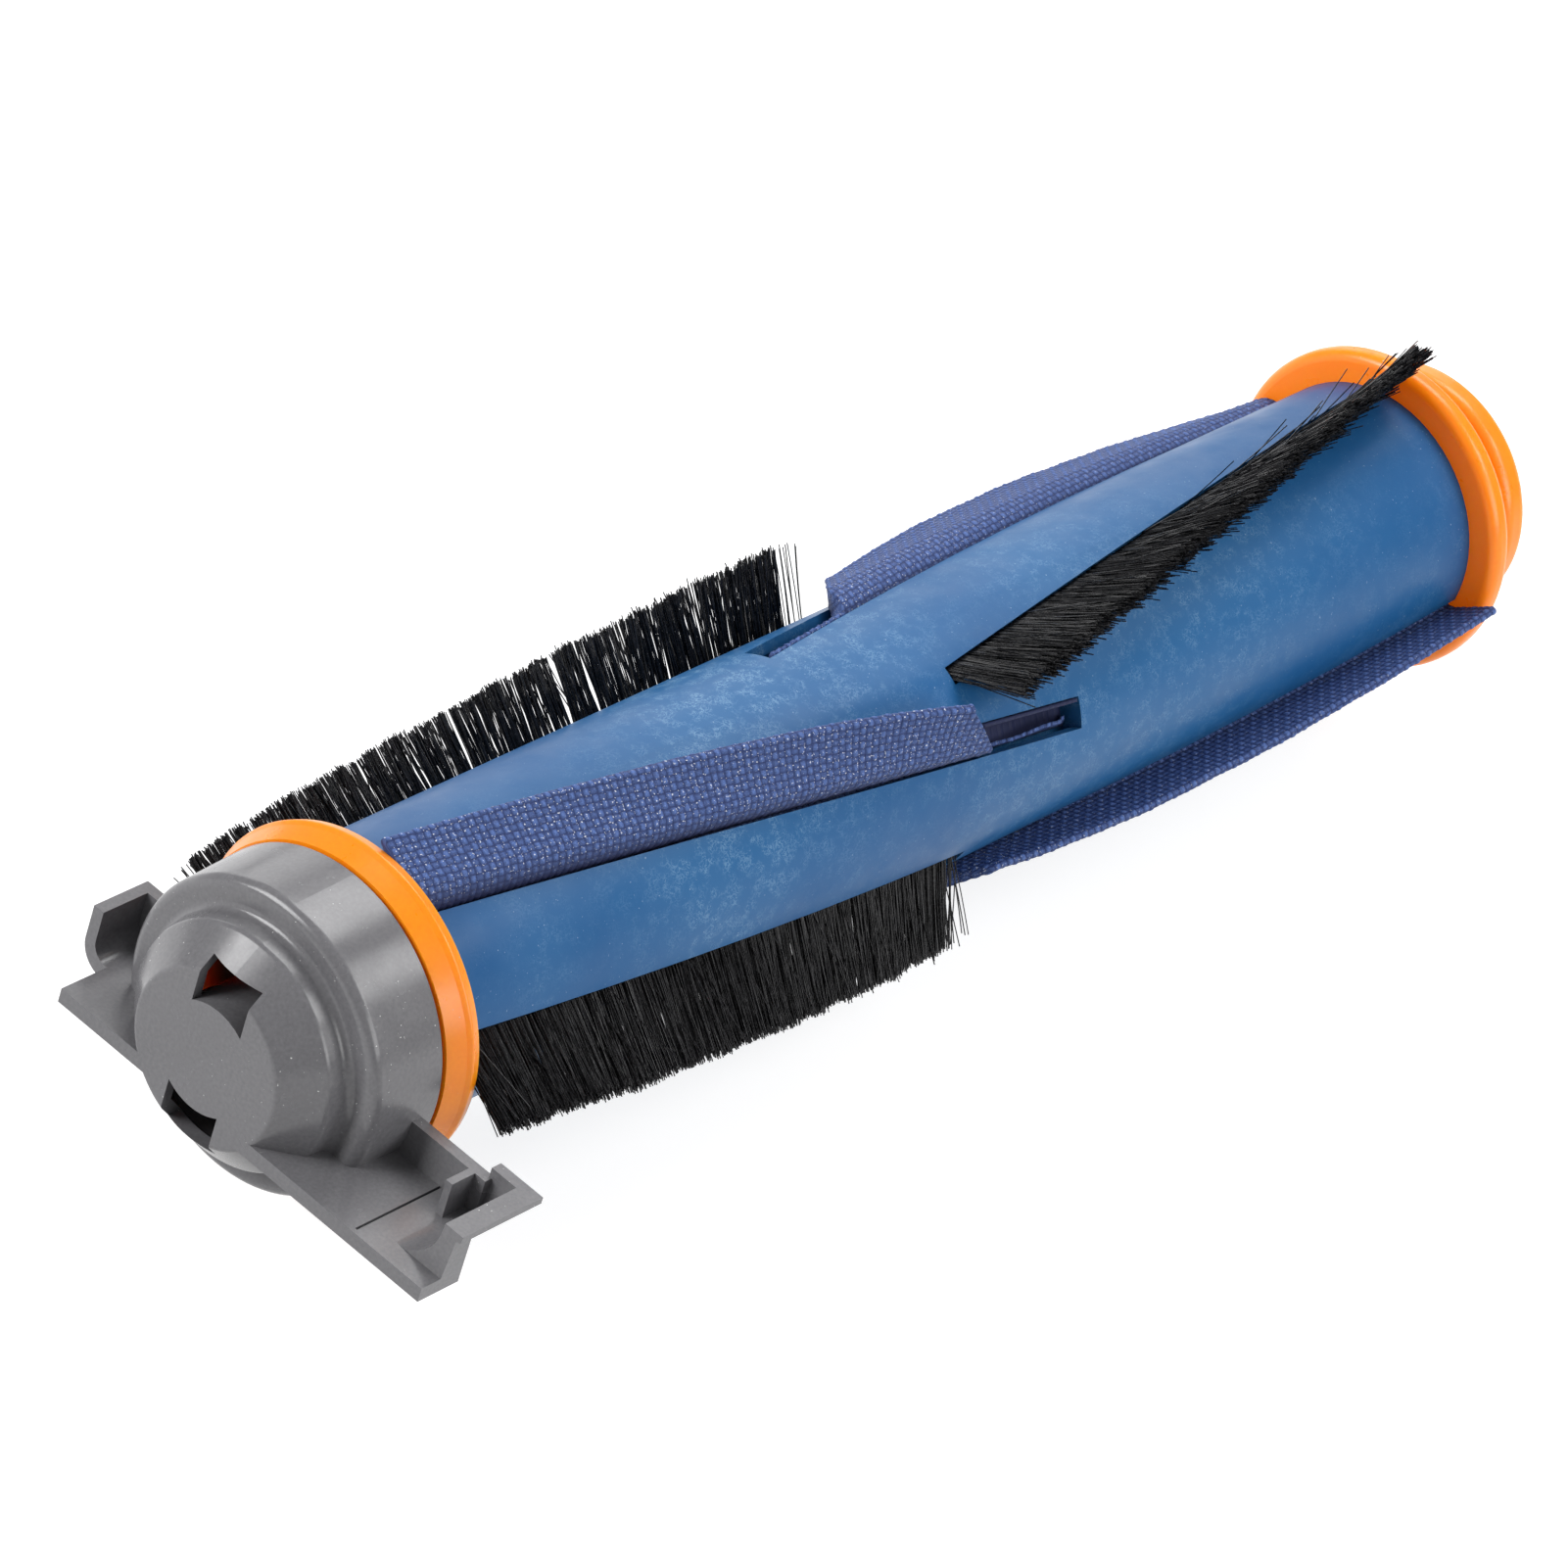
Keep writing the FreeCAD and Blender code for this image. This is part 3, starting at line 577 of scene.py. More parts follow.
def woven_navy():
    """Navy cloth, drawn by the yarns that the map named yarns counts."""
    material = new_material("navy_fabric")
    tree = material.node_tree
    yarns = add(tree, "ShaderNodeUVMap", uv_map="yarns").outputs["UV"]
    counts = split(tree, yarns)
    shader = add(tree, "ShaderNodeBsdfPrincipled", at={
        "Roughness": 0.6, "Specular IOR Level": 0.25, "Sheen Weight": 0.04, "Sheen Roughness": 0.45,
        "Sheen Tint": (0.55, 0.62, 0.85, 1)})
    height = weave_nodes(tree, counts["X"], counts["Y"])
    # Painted light and shade: the humps are lighter, the gaps and the deeper weft darker.
    weave_light_and_shade = ramp_between(tree, height, YARN_SHADED, YARN_LIT, stops=(0.08, 0.95))
    uneven = noise_between(tree, yarns, 4.5, 5.0, YARN_WORN, WHITE, stops=(0.30, 0.60))
    toned = add(tree, "ShaderNodeMix", data_type="RGBA", blend_type="MULTIPLY", at={0: 1.0})
    tree.links.new(weave_light_and_shade, toned.inputs[6])
    tree.links.new(uneven, toned.inputs[7])
    # Pale flecks, partly dust and partly painted glints of shiny yarn, fewer towards the far end.
    flecks_and_glints = noise_between(tree, yarns, 3.2, 1.0, BLACK, grey(0.90), stops=(0.665, 0.70))
    x = split(tree, add(tree, "ShaderNodeTexCoord").outputs["Object"])["X"]
    fewer_far = ramp_between(tree, x, WHITE, grey(0.25), stops=(0.12, 0.20))
    with_flecks_and_glints = mixed(tree, calc(tree, "MULTIPLY", flecks_and_glints, fewer_far), toned.outputs[2], FLECK_AND_GLINT_COLOUR)
    # Painted shade where the cloth bends into its slot; it also darkens the tails.
    up_fold = calc(tree, "DIVIDE", counts["X"], FOLD_YARNS)
    fold = ramp_between(tree, up_fold, WHITE, BLACK, stops=(0.20, 0.47))
    tree.links.new(mixed(tree, fold, with_flecks_and_glints, FOLD_SHADE), shader.inputs["Base Color"])
    fibres = noise(tree, yarns, scale=9.0, detail=3.0)
    bump(tree, calc(tree, "MULTIPLY_ADD", fibres, FIBRE_SHARE, height), 0.5, WEAVE_HEIGHT, shader)
    surface(material, shader)
    return material


navy_fabric = woven_navy()
print(navy_fabric.name)

# %% [markdown]
# ## Outline of a blade
# Seen along the roller, a blade rises from its foot, bends back and ends in a thin folded edge. A flat
# sheet with a thickness would be simpler, but the fold is puffed up on the visible side, where it nearly
# fills the slot. So the outline is walked once round: up the visible side, over the folded edge, down the
# hidden side and round the foot. Three shares say how far each point has come up the stem, round the bend
# and along the free part, and a turn says which side of the cloth it is on. So the same points can be laid
# at any lean and height.

# %% Blade outline
CLOTH_HALF = 1.0 * MM
EDGE_HALF = 0.6 * MM
FOLD_HALF = 1.9 * MM
FOLD_TAPER = 1.5
BEND_RADIUS = 3.0 * MM
BEND_OUT = CORE_RADIUS + 0.8 * MM
FOOT_HALF = 3.65 * MM
FOOT_LOW = CORE_RADIUS - 4.2 * MM + SLIDE_GAP
FOOT_HIGH = CORE_RADIUS - 2.0 * MM - SLIDE_GAP
SLANT_IN_BEND = 0.2
SLANT_IN_FREE = 0.8
STEM_POINTS, BEND_POINTS, FREE_POINTS, EDGE_POINTS = 3, 12, 34, 9

stem_up = np.concatenate([np.linspace(0, 1, STEM_POINTS, endpoint=False),
                          np.ones(BEND_POINTS + FREE_POINTS)])
bend_up = np.concatenate([np.zeros(STEM_POINTS), np.linspace(0, 1, BEND_POINTS), np.ones(FREE_POINTS)])
free_up = np.concatenate([np.zeros(STEM_POINTS + BEND_POINTS), np.linspace(0, 1, FREE_POINTS + 1)[1:]])
whole_edge = np.ones(EDGE_POINTS)
STEM_SHARE = np.concatenate([stem_up, whole_edge, stem_up[::-1]])
BEND_SHARE = np.concatenate([bend_up, whole_edge, bend_up[::-1]])
FREE_SHARE = np.concatenate([free_up, whole_edge, free_up[::-1]])
SIDE_TURN = np.concatenate([np.zeros(len(free_up)), np.linspace(0, math.pi, EDGE_POINTS + 2)[1:-1],
                            np.full(len(free_up), math.pi)])
FOOT = np.array([(-FOOT_HALF, FOOT_HIGH), (-FOOT_HALF, FOOT_LOW), (-FOOT_HALF / 2, FOOT_LOW), (0, FOOT_LOW),
                 (FOOT_HALF / 2, FOOT_LOW), (FOOT_HALF, FOOT_LOW), (FOOT_HALF, FOOT_HIGH)])
SLANT_SHARE = SLANT_IN_BEND * BEND_SHARE + SLANT_IN_FREE * FREE_SHARE
own_half = np.where(SIDE_TURN == 0, FOLD_HALF, CLOTH_HALF)
SIDE_HALF = EDGE_HALF + (1 - FREE_SHARE) ** FOLD_TAPER * (own_half - EDGE_HALF)


def blade_outline(lean, height):
    """Points (across, out) of the cloth above its foot, at their leans and heights, and their outward ways."""
    rise = BEND_RADIUS * np.tan(lean / 2)
    turn = BEND_SHARE * lean
    reach = FREE_SHARE * (height - rise - EDGE_HALF)
    across = BEND_RADIUS * (np.cos(turn) - 1) - np.sin(lean) * reach
    out = (FOOT_HIGH + STEM_SHARE * (BEND_OUT - rise - FOOT_HIGH) + BEND_RADIUS * np.sin(turn)
           + np.cos(lean) * reach)
    faced = turn + SIDE_TURN
    outward = np.stack([np.cos(faced), np.sin(faced)], axis=1)
    return np.stack([across, out], axis=1) + SIDE_HALF[:, None] * outward, outward


print("outline of", len(SIDE_TURN) + len(FOOT), "points")

# %% [markdown]
# ## Relief of the yarns
# The yarns stand a fifth of a millimetre proud. A Displace modifier could raise them, but it would need the
# weave as a texture of its own. The points are moved in code instead, by the same sum that the material
# draws. Each field of the weave gets its own height from the usual sine hash, which is random to the eye
# and the same at every run.

# %% Weave relief
RELIEF = 0.20 * MM
LEAST_RELIEF = 0.8
RELIEF_RANGE = 0.4
HASH_COLUMN, HASH_ROW, HASH_SIZE = 12.9898, 78.233, 43758.5453


def weave_relief(across_yarns, along_yarns, seed):
    """Height of the cloth's surface where a point lies at these counts of yarns."""
    column = np.floor(across_yarns)
    row = np.floor(along_yarns)
    side_across = np.sin(math.pi * (across_yarns - column))
    side_along = np.sin(math.pi * (along_yarns - row))
    warp_hump = side_across ** HUMP_LONG * side_along ** HUMP_NARROW
    weft_hump = WEFT_DEPTH * side_across ** HUMP_NARROW * side_along ** HUMP_LONG
    hump = np.where((column + row) % 2 == 0, warp_hump, weft_hump)
    uneven = np.sin(column * HASH_COLUMN + row * HASH_ROW + seed) * HASH_SIZE
    return RELIEF * hump * (LEAST_RELIEF + RELIEF_RANGE * (uneven - np.floor(uneven)))


print("relief of", round(RELIEF / MM, 2), "mm")

# %% [markdown]
# ## Meshes from rings
# A blade and its tail are both rows of rings, one for each step along the roller. Blender's own bridging
# would do for two rings, but here the faces are listed at once, with a cap on each end. The map that counts
# yarns is stored with the mesh, and all faces are turned outwards.

# %% Mesh helpers
def closed_grid(rings, name):
    """Mesh through rings of points. Each ring is closed, and both ends are capped."""
    ring_count, side = rings.shape[:2]
    here = np.arange(ring_count * side).reshape(ring_count, side)
    after = np.roll(here, -1, axis=1)
    quads = np.stack([here[:-1], after[:-1], after[1:], here[1:]], axis=-1).reshape(-1, 4)
    faces = [tuple(quad) for quad in quads.tolist()]
    faces.append(tuple(here[0, ::-1].tolist()))
    faces.append(tuple(here[-1].tolist()))
    mesh = bpy.data.meshes.new(name)
    mesh.from_pydata(rings.reshape(-1, 3).tolist(), [], faces)
    return mesh


def lay_map(mesh, coordinates):
    """Stores map coordinates, given for each point, in a map named yarns."""
    corners = np.empty(len(mesh.loops), dtype=np.int32)
    mesh.loops.foreach_get("vertex_index", corners)
    mesh.uv_layers.new(name="yarns").data.foreach_set("uv", coordinates[corners].astype(np.float32).ravel())


def outward_faces(mesh):
    """Turns all faces outwards if the mesh's volume comes out negative, and shades them smooth."""
    points = np.empty(len(mesh.vertices) * 3, dtype=np.float32)
    mesh.vertices.foreach_get("co", points)
    mesh.calc_loop_triangles()
    corners = np.empty(len(mesh.loop_triangles) * 3, dtype=np.int32)
    mesh.loop_triangles.foreach_get("vertices", corners)
    a, b, c = points.reshape(-1, 3)[corners.reshape(-1, 3)].astype(float).transpose(1, 0, 2)
    if np.einsum("ij,ij->i", a, np.cross(b, c)).sum() < 0:
        mesh.flip_normals()
    mesh.polygons.foreach_set("use_smooth", np.ones(len(mesh.polygons), dtype=bool))


def joined(name, parts):
    """One mesh from several closed grids and their maps."""
    objects = []
    for rings, maps in parts:
        mesh = closed_grid(rings, name)
        lay_map(mesh, maps.reshape(-1, 2))
        outward_faces(mesh)
        part = bpy.data.objects.new(name, mesh)
        bpy.context.collection.objects.link(part)
        objects.append(part)
    with bpy.context.temp_override(active_object=objects[0], selected_editable_objects=objects):
        bpy.ops.object.join()
    mesh = objects[0].data
    bpy.data.objects.remove(objects[0])
    return mesh


print("helpers for ring meshes are ready")

# %% [markdown]
# ## Cloth of a blade
# The lean changes most near the roller's middle, where the blade's end is free, and settles towards the
# disc. The near blades stand up at their free end, and the far ones lie down and start a little past the
# middle. That end is cut on a slant. A cloth simulation could find the lean, but the blade is held stiff in
# its slot, and the photograph shows how it stands, so it is laid by rule. The lean also wanders a little,
# because no strip folds evenly.

# %% Blade rings
HEIGHT_AT_MIDDLE = 10.0 * MM
HEIGHT_AT_DISC = 9.2 * MM
LEAN_FADE = 32.0 * MM
NEAR_LEANS = (math.radians(31), math.radians(66))
FAR_LEANS = (math.radians(101), math.radians(53.5))
MOST_LEAN = math.radians(85)
NEAR_SLANT = 9.5 * MM
FAR_SLANT = 11.2 * MM
SLANT_RUN = 24.0 * MM
LONG_WANDER, LONG_WAVES = math.radians(0.5), 230
SHORT_WANDER, SHORT_WAVES = math.radians(0.3), 610
CLOTH_STEP = 0.25 * MM
# Far blades start their count at two yarns, so less of the painted fold shade falls on them.
FAR_FIRST_YARN = 2
HELIX_STRETCH = math.hypot(1, TURN_PER_METRE * CORE_RADIUS)


def fabric_lean(near_half, from_inner):
    """Lean of a blade at these distances from its inner end."""
    at_middle, at_disc = NEAR_LEANS if near_half else FAR_LEANS
    return np.minimum(MOST_LEAN, at_disc + (at_middle - at_disc) * np.exp(-from_inner / LEAN_FADE))


def blade_rings(near_half, copy, seed):
    """Rings of points of a blade, and how many yarns each point lies across and along."""
    at_middle, turn = strip_turn(near_half, False, copy)
    inner, disc_end = strip_ends(near_half, False)
    length = abs(disc_end - inner)
    outward_x = np.sign(disc_end - inner)
    slant = NEAR_SLANT if near_half else FAR_SLANT
    first_yarn = 0 if near_half else FAR_FIRST_YARN
    rings = []
    maps = []
    for x in np.linspace(inner, disc_end, round(length / CLOTH_STEP) + 1):
        pulled = max(0.0, 1 - abs(x - inner) / SLANT_RUN)
        places = x + outward_x * slant * pulled * SLANT_SHARE
        from_inner = np.abs(places - inner)
        share = from_inner / length
        wander = LONG_WANDER * np.sin(places * LONG_WAVES + seed)
        wander += SHORT_WANDER * np.sin(places * SHORT_WAVES + 2 * seed)
        lean = fabric_lean(near_half, from_inner) + wander * np.sin(math.pi * share)
        height = HEIGHT_AT_MIDDLE + (HEIGHT_AT_DISC - HEIGHT_AT_MIDDLE) * share
        points, outward = blade_outline(lean, height)
        points = np.concatenate([points, FOOT])
        places = np.concatenate([places, np.full(len(FOOT), x)])
        steps = np.linalg.norm(np.diff(points, axis=0, prepend=points[:1]), axis=1)
        across_yarns = first_yarn + np.cumsum(steps) / YARN_ACROSS
        along_yarns = np.abs(places - inner) / YARN_ALONG * HELIX_STRETCH
        raised = weave_relief(across_yarns, along_yarns, seed)[:len(outward), None] * outward
        points[:len(outward)] += raised
        angle = at_middle + turn * (places - CORE_MIDDLE)
        rings.append(about_axis(places, angle, points[:, 0], points[:, 1]))
        maps.append(np.stack([across_yarns, along_yarns], axis=1))
    return np.array(rings), np.array(maps)


print("a blade is", round(HEIGHT_AT_MIDDLE / MM, 1), "to", round(HEIGHT_AT_DISC / MM, 1), "mm high")

# %% [markdown]
# ## Torn tail
# The cloth of the foot runs on in the open part of its slot. There it is one thin layer that lines the
# floor and turns up on both sides. On a near blade one side is torn, so its edge stands up in a wave and
# sways into the slot. On a far blade that side is whole and the other is low. The floor and the other side
# carry the fold's painted shade, a dark sheet for the shade inside the slot, and on a near blade that side
# rises nearly to the lip. The torn or whole side is painted dark in its lower part only. A simulation would
# need the tear, so the edge's height is given at a few places along the tail and is joined by straight
# lines with a small ragged wave.

# %% Tail rings
NEAR_TAIL = 20.5 * MM
FAR_TAIL = 19.3 * MM
TAIL_HALF = 0.28 * MM
TAIL_SIDE = 2.05 * MM
TAIL_BEND = 0.45 * MM
FULL_WALL = 3.9 * MM
LOW_WALL = 0.9 * MM
TAIL_RINGS = 91
WALL_POINTS, CORNER_POINTS, FLOOR_POINTS = 8, 5, 9
TAIL_PLACES = (0.0, 0.12, 0.24, 0.38, 0.53, 0.68, 0.85, 0.90, 1.0)
TAIL_HEIGHTS = (2.4, 1.8, 1.4, 2.1, 2.6, 2.9, 3.0, 2.0, 1.0)
# Painted shade: the count starts low, so the fold's shade darkens the tail's floor and first side.
TAIL_FIRST_YARN = 1.2
TAIL_YARNS_UP = 4.4
SWAY_START, SWAY_GROWTH = 0.4 * MM, 1.0 * MM
SWAY_SWING, SWAY_WAVES = 0.2 * MM, 9
LONG_TEAR, LONG_TEAR_WAVES = 0.10 * MM, 71
SHORT_TEAR, SHORT_TEAR_WAVES = 0.07 * MM, 167


def tail_edge(near_half, share, seed):
    """Height of both sides of the tail at this share of its length, and how far the torn one sways."""
    if not near_half:
        return LOW_WALL, FULL_WALL, 0.0
    torn = np.interp(share, TAIL_PLACES, TAIL_HEIGHTS) * MM
    sway = SWAY_START + SWAY_GROWTH * share + SWAY_SWING * math.sin(share * SWAY_WAVES + seed)
    return FULL_WALL, torn, sway


def tail_rings(near_half, copy, seed):
    """Rings of points of the tail, and how many yarns each point lies across and along."""
    at_middle, turn = strip_turn(near_half, False, copy)
    inward = 1 if near_half else -1
    length = NEAR_TAIL if near_half else FAR_TAIL
    inner = strip_ends(near_half, False)[0]
    corner = np.linspace(0, math.pi / 2, CORNER_POINTS)
    flat = np.zeros(FLOOR_POINTS)
    upright = np.full(WALL_POINTS, math.pi / 2)
    bend = np.concatenate([-upright, -corner[::-1], flat, corner, upright])
    wall = np.ones(WALL_POINTS + CORNER_POINTS)
    side = np.concatenate([-wall, np.linspace(-1, 1, FLOOR_POINTS + 2)[1:-1], wall])
    climb = np.linspace(0, 1, WALL_POINTS + 1)[1:]
    first_up = np.concatenate([climb[::-1], np.zeros(len(bend) - WALL_POINTS)])
    last_up = first_up[::-1]
    facing = np.stack([-np.sin(bend), np.cos(bend)], axis=1)
    yarns_up = TAIL_FIRST_YARN + TAIL_YARNS_UP * last_up
    rings = []
    maps = []
    for share in np.linspace(0, 1, TAIL_RINGS):
        x = inner + inward * share * length
        ragged = LONG_TEAR * math.sin(share * LONG_TEAR_WAVES + seed)
        ragged += SHORT_TEAR * math.sin(share * SHORT_TEAR_WAVES + 3 * seed)
        first_wall, last_wall, sway = tail_edge(near_half, share, seed)
        across = side * (TAIL_SIDE - TAIL_BEND) + TAIL_BEND * np.sin(bend) - sway * last_up
        out = (FOOT_LOW + TAIL_HALF + TAIL_BEND * (1 - np.cos(bend)) + first_up * (first_wall - TAIL_BEND)
               + last_up * (last_wall + ragged - TAIL_BEND))
        line = np.stack([across, out], axis=1)
        points = np.concatenate([line + TAIL_HALF * facing, (line - TAIL_HALF * facing)[::-1]])
        angle = np.full(len(points), at_middle + turn * (x - CORE_MIDDLE))
        rings.append(about_axis(np.full(len(points), x), angle, points[:, 0], points[:, 1]))
        maps.append(np.stack([np.concatenate([yarns_up, yarns_up[::-1]]),
                              np.full(len(points), share * length / YARN_ALONG)], axis=1))
    return np.array(rings), np.array(maps)


print("tails of", round(NEAR_TAIL / MM, 1), "and", round(FAR_TAIL / MM, 1), "mm")

# %% [markdown]
# ## Four fabric blades
# Each half of the roller has two blades, half a turn apart. A copy of one mesh could serve for both, but
# then their yarns and folds would match, so each blade is made anew with a seed of its own. It takes the
# place of its solid and turns with the roller.

# %% Fabric blades
FIRST_SEED = 1.7
COPY_SEED = 2.3
FAR_SEED = 5.1


for near_half in (True, False):
    for copy in (0, 1):
        place = strip_name(near_half, copy)
        seed = FIRST_SEED + COPY_SEED * copy + (0 if near_half else FAR_SEED)
        mesh = joined("woven_blade_" + place,
                      [blade_rings(near_half, copy, seed), tail_rings(near_half, copy, seed)])
        mesh.materials.append(navy_fabric)
        blade = bpy.data.objects.new("woven_blade_" + place, mesh)
        bpy.context.collection.objects.link(blade)
        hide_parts("fabric_blade_" + place)
        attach(blade, "roller")
        inner, disc_end = strip_ends(near_half, False)
        print(blade.name, len(mesh.polygons), "faces")

# %% [markdown]
# ## Bristle finish
# The bristles are black nylon, smooth and fairly glossy. A hair shader would suit thin strands, but these
# are real tubes, so a plain shader does. Its tone and gloss change from filament to filament.

# %% Bristle finish
NYLON_DARK = (0.006, 0.006, 0.007, 1)
NYLON_PALE = (0.020, 0.020, 0.022, 1)


def nylon_black():
    """Black nylon, each filament a little different."""
    material = new_material("black_bristle")
    tree = material.node_tree
    place = add(tree, "ShaderNodeTexCoord").outputs["Object"]
    shader = add(tree, "ShaderNodeBsdfPrincipled", at={"IOR": 1.53, "Specular IOR Level": 0.3})
    tone = noise_between(tree, place, 900.0, 2.0, NYLON_DARK, NYLON_PALE, stops=(0.35, 0.7))
    tree.links.new(tone, shader.inputs["Base Color"])
    sheen = noise_between(tree, place, 1600.0, 2.0, grey(0.16), grey(0.30), stops=(0.3, 0.7))
    tree.links.new(sheen, shader.inputs["Roughness"])
    surface(material, shader)
    return material


black_bristle = nylon_black()
print(black_bristle.name)

# %% [markdown]
# ## Bristle rule
# A bristle strip is a row of nylon tufts set in a plastic band. Each tuft is a bundle of straight
# filaments, two tenths of a millimetre thick, cut to nearly one length. A particle system could grow them,
# but it can't follow a rule for each tuft. Geometry Nodes suit this: one filament is drawn once and set
# many times. The rule has named inputs for every size, and each random number comes from the row's seed
# plus a number of its own.

# %% Bristle inputs
BRISTLE_INPUTS = {
    "Start": "NodeSocketFloat", "End": "NodeSocketFloat", "Middle": "NodeSocketFloat",
    "Angle at middle": "NodeSocketFloat", "Turn per metre": "NodeSocketFloat",
    "Root out": "NodeSocketFloat", "Root width": "NodeSocketFloat", "Root shift": "NodeSocketFloat",
    "Gaps": "NodeSocketFloat", "Length": "NodeSocketFloat", "Lean": "NodeSocketFloat",
    "Tilt": "NodeSocketFloat", "Thickness": "NodeSocketFloat", "Tufts": "NodeSocketInt",
    "Filaments per tuft": "NodeSocketInt", "Seed": "NodeSocketInt", "Material": "NodeSocketMaterial",
}
bristle_rule = bpy.data.node_groups.new("bristle_row", "GeometryNodeTree")
for name, kind in BRISTLE_INPUTS.items():
    bristle_rule.interface.new_socket(name=name, in_out="INPUT", socket_type=kind)
bristle_rule.interface.new_socket(name="Geometry", in_out="OUTPUT", socket_type="NodeSocketGeometry")
given = add(bristle_rule, "NodeGroupInput").outputs
link = bristle_rule.links.new


def maths(operation, *values):
    """A sum in the bristle rule."""
    return calc(bristle_rule, operation, *values)


def chance(low, high, identity, offset):
    """A random number for each identity, from low to high."""
    node = add(bristle_rule, "FunctionNodeRandomValue", data_type="FLOAT", at={2: low, 3: high})
    link(identity, node.inputs["ID"])
    link(maths("ADD", given["Seed"], offset), node.inputs["Seed"])
    return node.outputs[1]


def swing(size, identity, offset):
    """A random number for each identity, up to size on either side of zero."""
    return chance(-size, size, identity, offset)


def combined(x, y, z):
    """A vector from three values, each a socket or a plain number."""
    node = add(bristle_rule, "ShaderNodeCombineXYZ")
    for index, value in enumerate((x, y, z)):
        feed(bristle_rule, value, node.inputs[index])
    return node.outputs[0]


def about_x(vector, angle):
    """A vector turned about the roller's axis."""
    node = add(bristle_rule, "ShaderNodeVectorRotate", rotation_type="X_AXIS")
    link(vector, node.inputs["Vector"])
    link(angle, node.inputs["Angle"])
    return node.outputs[0]


print("bristle rule has", len(BRISTLE_INPUTS), "inputs")

# %% [markdown]
# ## Roots of the bristles
# Every filament is one point. Its number says which tuft it is in, and which of four clumps in that tuft.
# On an old row the clumps draw together and leave gaps, so Gaps narrows them. Roots could be set on a drawn
# line, but the strip's helix is known, so each root is placed by the sum that also places the blades.

# %% Bristle roots
CLUMPS = 4
CLUMP_WIDTH = 0.46
CLUMP_NARROWING = -0.31
CLUMP_SHIFT = 0.05
TUFT_SHIFT = 0.05

filament = add(bristle_rule, "GeometryNodeInputIndex").outputs[0]
centred = maths("ADD", filament, 0.5)
tuft = maths("FLOOR", maths("DIVIDE", centred, given["Filaments per tuft"]))
clump = maths("FLOOR", maths("DIVIDE", maths("MULTIPLY", centred, CLUMPS), given["Filaments per tuft"]))
points = add(bristle_rule, "GeometryNodePoints")
link(maths("MULTIPLY", given["Tufts"], given["Filaments per tuft"]), points.inputs["Count"])

pitch = maths("DIVIDE", maths("SUBTRACT", given["End"], given["Start"]), given["Tufts"])
tuft_middle = maths("ADD", tuft, 0.5)
clump_place = maths("SUBTRACT", maths("DIVIDE", maths("ADD", clump, 0.5), CLUMPS), tuft_middle)
clump_width = maths("MULTIPLY_ADD", given["Gaps"], CLUMP_NARROWING, CLUMP_WIDTH)
spread = maths("MULTIPLY", swing(0.5, filament, 1), clump_width)
in_tuft = maths("ADD", clump_place, maths("ADD", swing(CLUMP_SHIFT, clump, 2), spread))
from_start = maths("ADD", tuft_middle, maths("ADD", in_tuft, swing(TUFT_SHIFT, tuft, 3)))
root_x = maths("MULTIPLY_ADD", from_start, pitch, given["Start"])
from_middle = maths("SUBTRACT", root_x, given["Middle"])
root_angle = maths("MULTIPLY_ADD", from_middle, given["Turn per metre"], given["Angle at middle"])
root_across = maths("MULTIPLY_ADD", swing(0.5, filament, 4), given["Root width"], given["Root shift"])
roots = add(bristle_rule, "GeometryNodeSetPosition")
link(points.outputs[0], roots.inputs["Geometry"])
link(about_x(combined(root_x, given["Root out"], root_across), root_angle), roots.inputs["Position"])
print("roots stand in", CLUMPS, "clumps for each tuft")

# %% [markdown]
# ## Lean and length of the bristles
# All filaments lean to one side, and each has its own small lean, tilt and length. A few are strays, and
# the last tuft at the roller's middle has loose ones that fall towards it. The tilt is then held back at
# one end, so that no filament passes through a disc's rim.

# %% Bristle lean
LENGTH_SHARE = (0.955, 1.0)
TUFT_LENGTH_SWING = 0.02
STRAY_SHARE = 0.02
STRAY_SHARE_BY_GAPS = 0.05
STRAY_TILT = 0.26
STRAY_LEAN = (-0.30, 0.12)
FILAMENT_LEAN = 0.045
CLUMP_LEAN = 0.03
HELD_SHARE = 0.88
LOOSE_TILT = (0.05, 0.30)
DRAWN_IN = -0.03
FILAMENT_TILT = 0.05
FILAMENT_TILT_LOSS = -0.6
TUFT_TILT = 0.04
CLUMP_TILT = 0.04

length_share = maths("ADD", chance(*LENGTH_SHARE, filament, 5), swing(TUFT_LENGTH_SWING, tuft, 6))
length = maths("MULTIPLY", length_share, given["Length"])
stray_share = maths("MULTIPLY_ADD", given["Gaps"], STRAY_SHARE_BY_GAPS, STRAY_SHARE)
stray = maths("LESS_THAN", chance(0, 1, filament, 9), stray_share)
wild_tilt = maths("MULTIPLY", stray, swing(STRAY_TILT, filament, 10))
wild_lean = maths("MULTIPLY", stray, chance(*STRAY_LEAN, filament, 17))
own_lean = maths("ADD", swing(FILAMENT_LEAN, filament, 7), swing(CLUMP_LEAN, clump, 8))
lean = maths("ADD", given["Lean"], maths("ADD", own_lean, wild_lean))

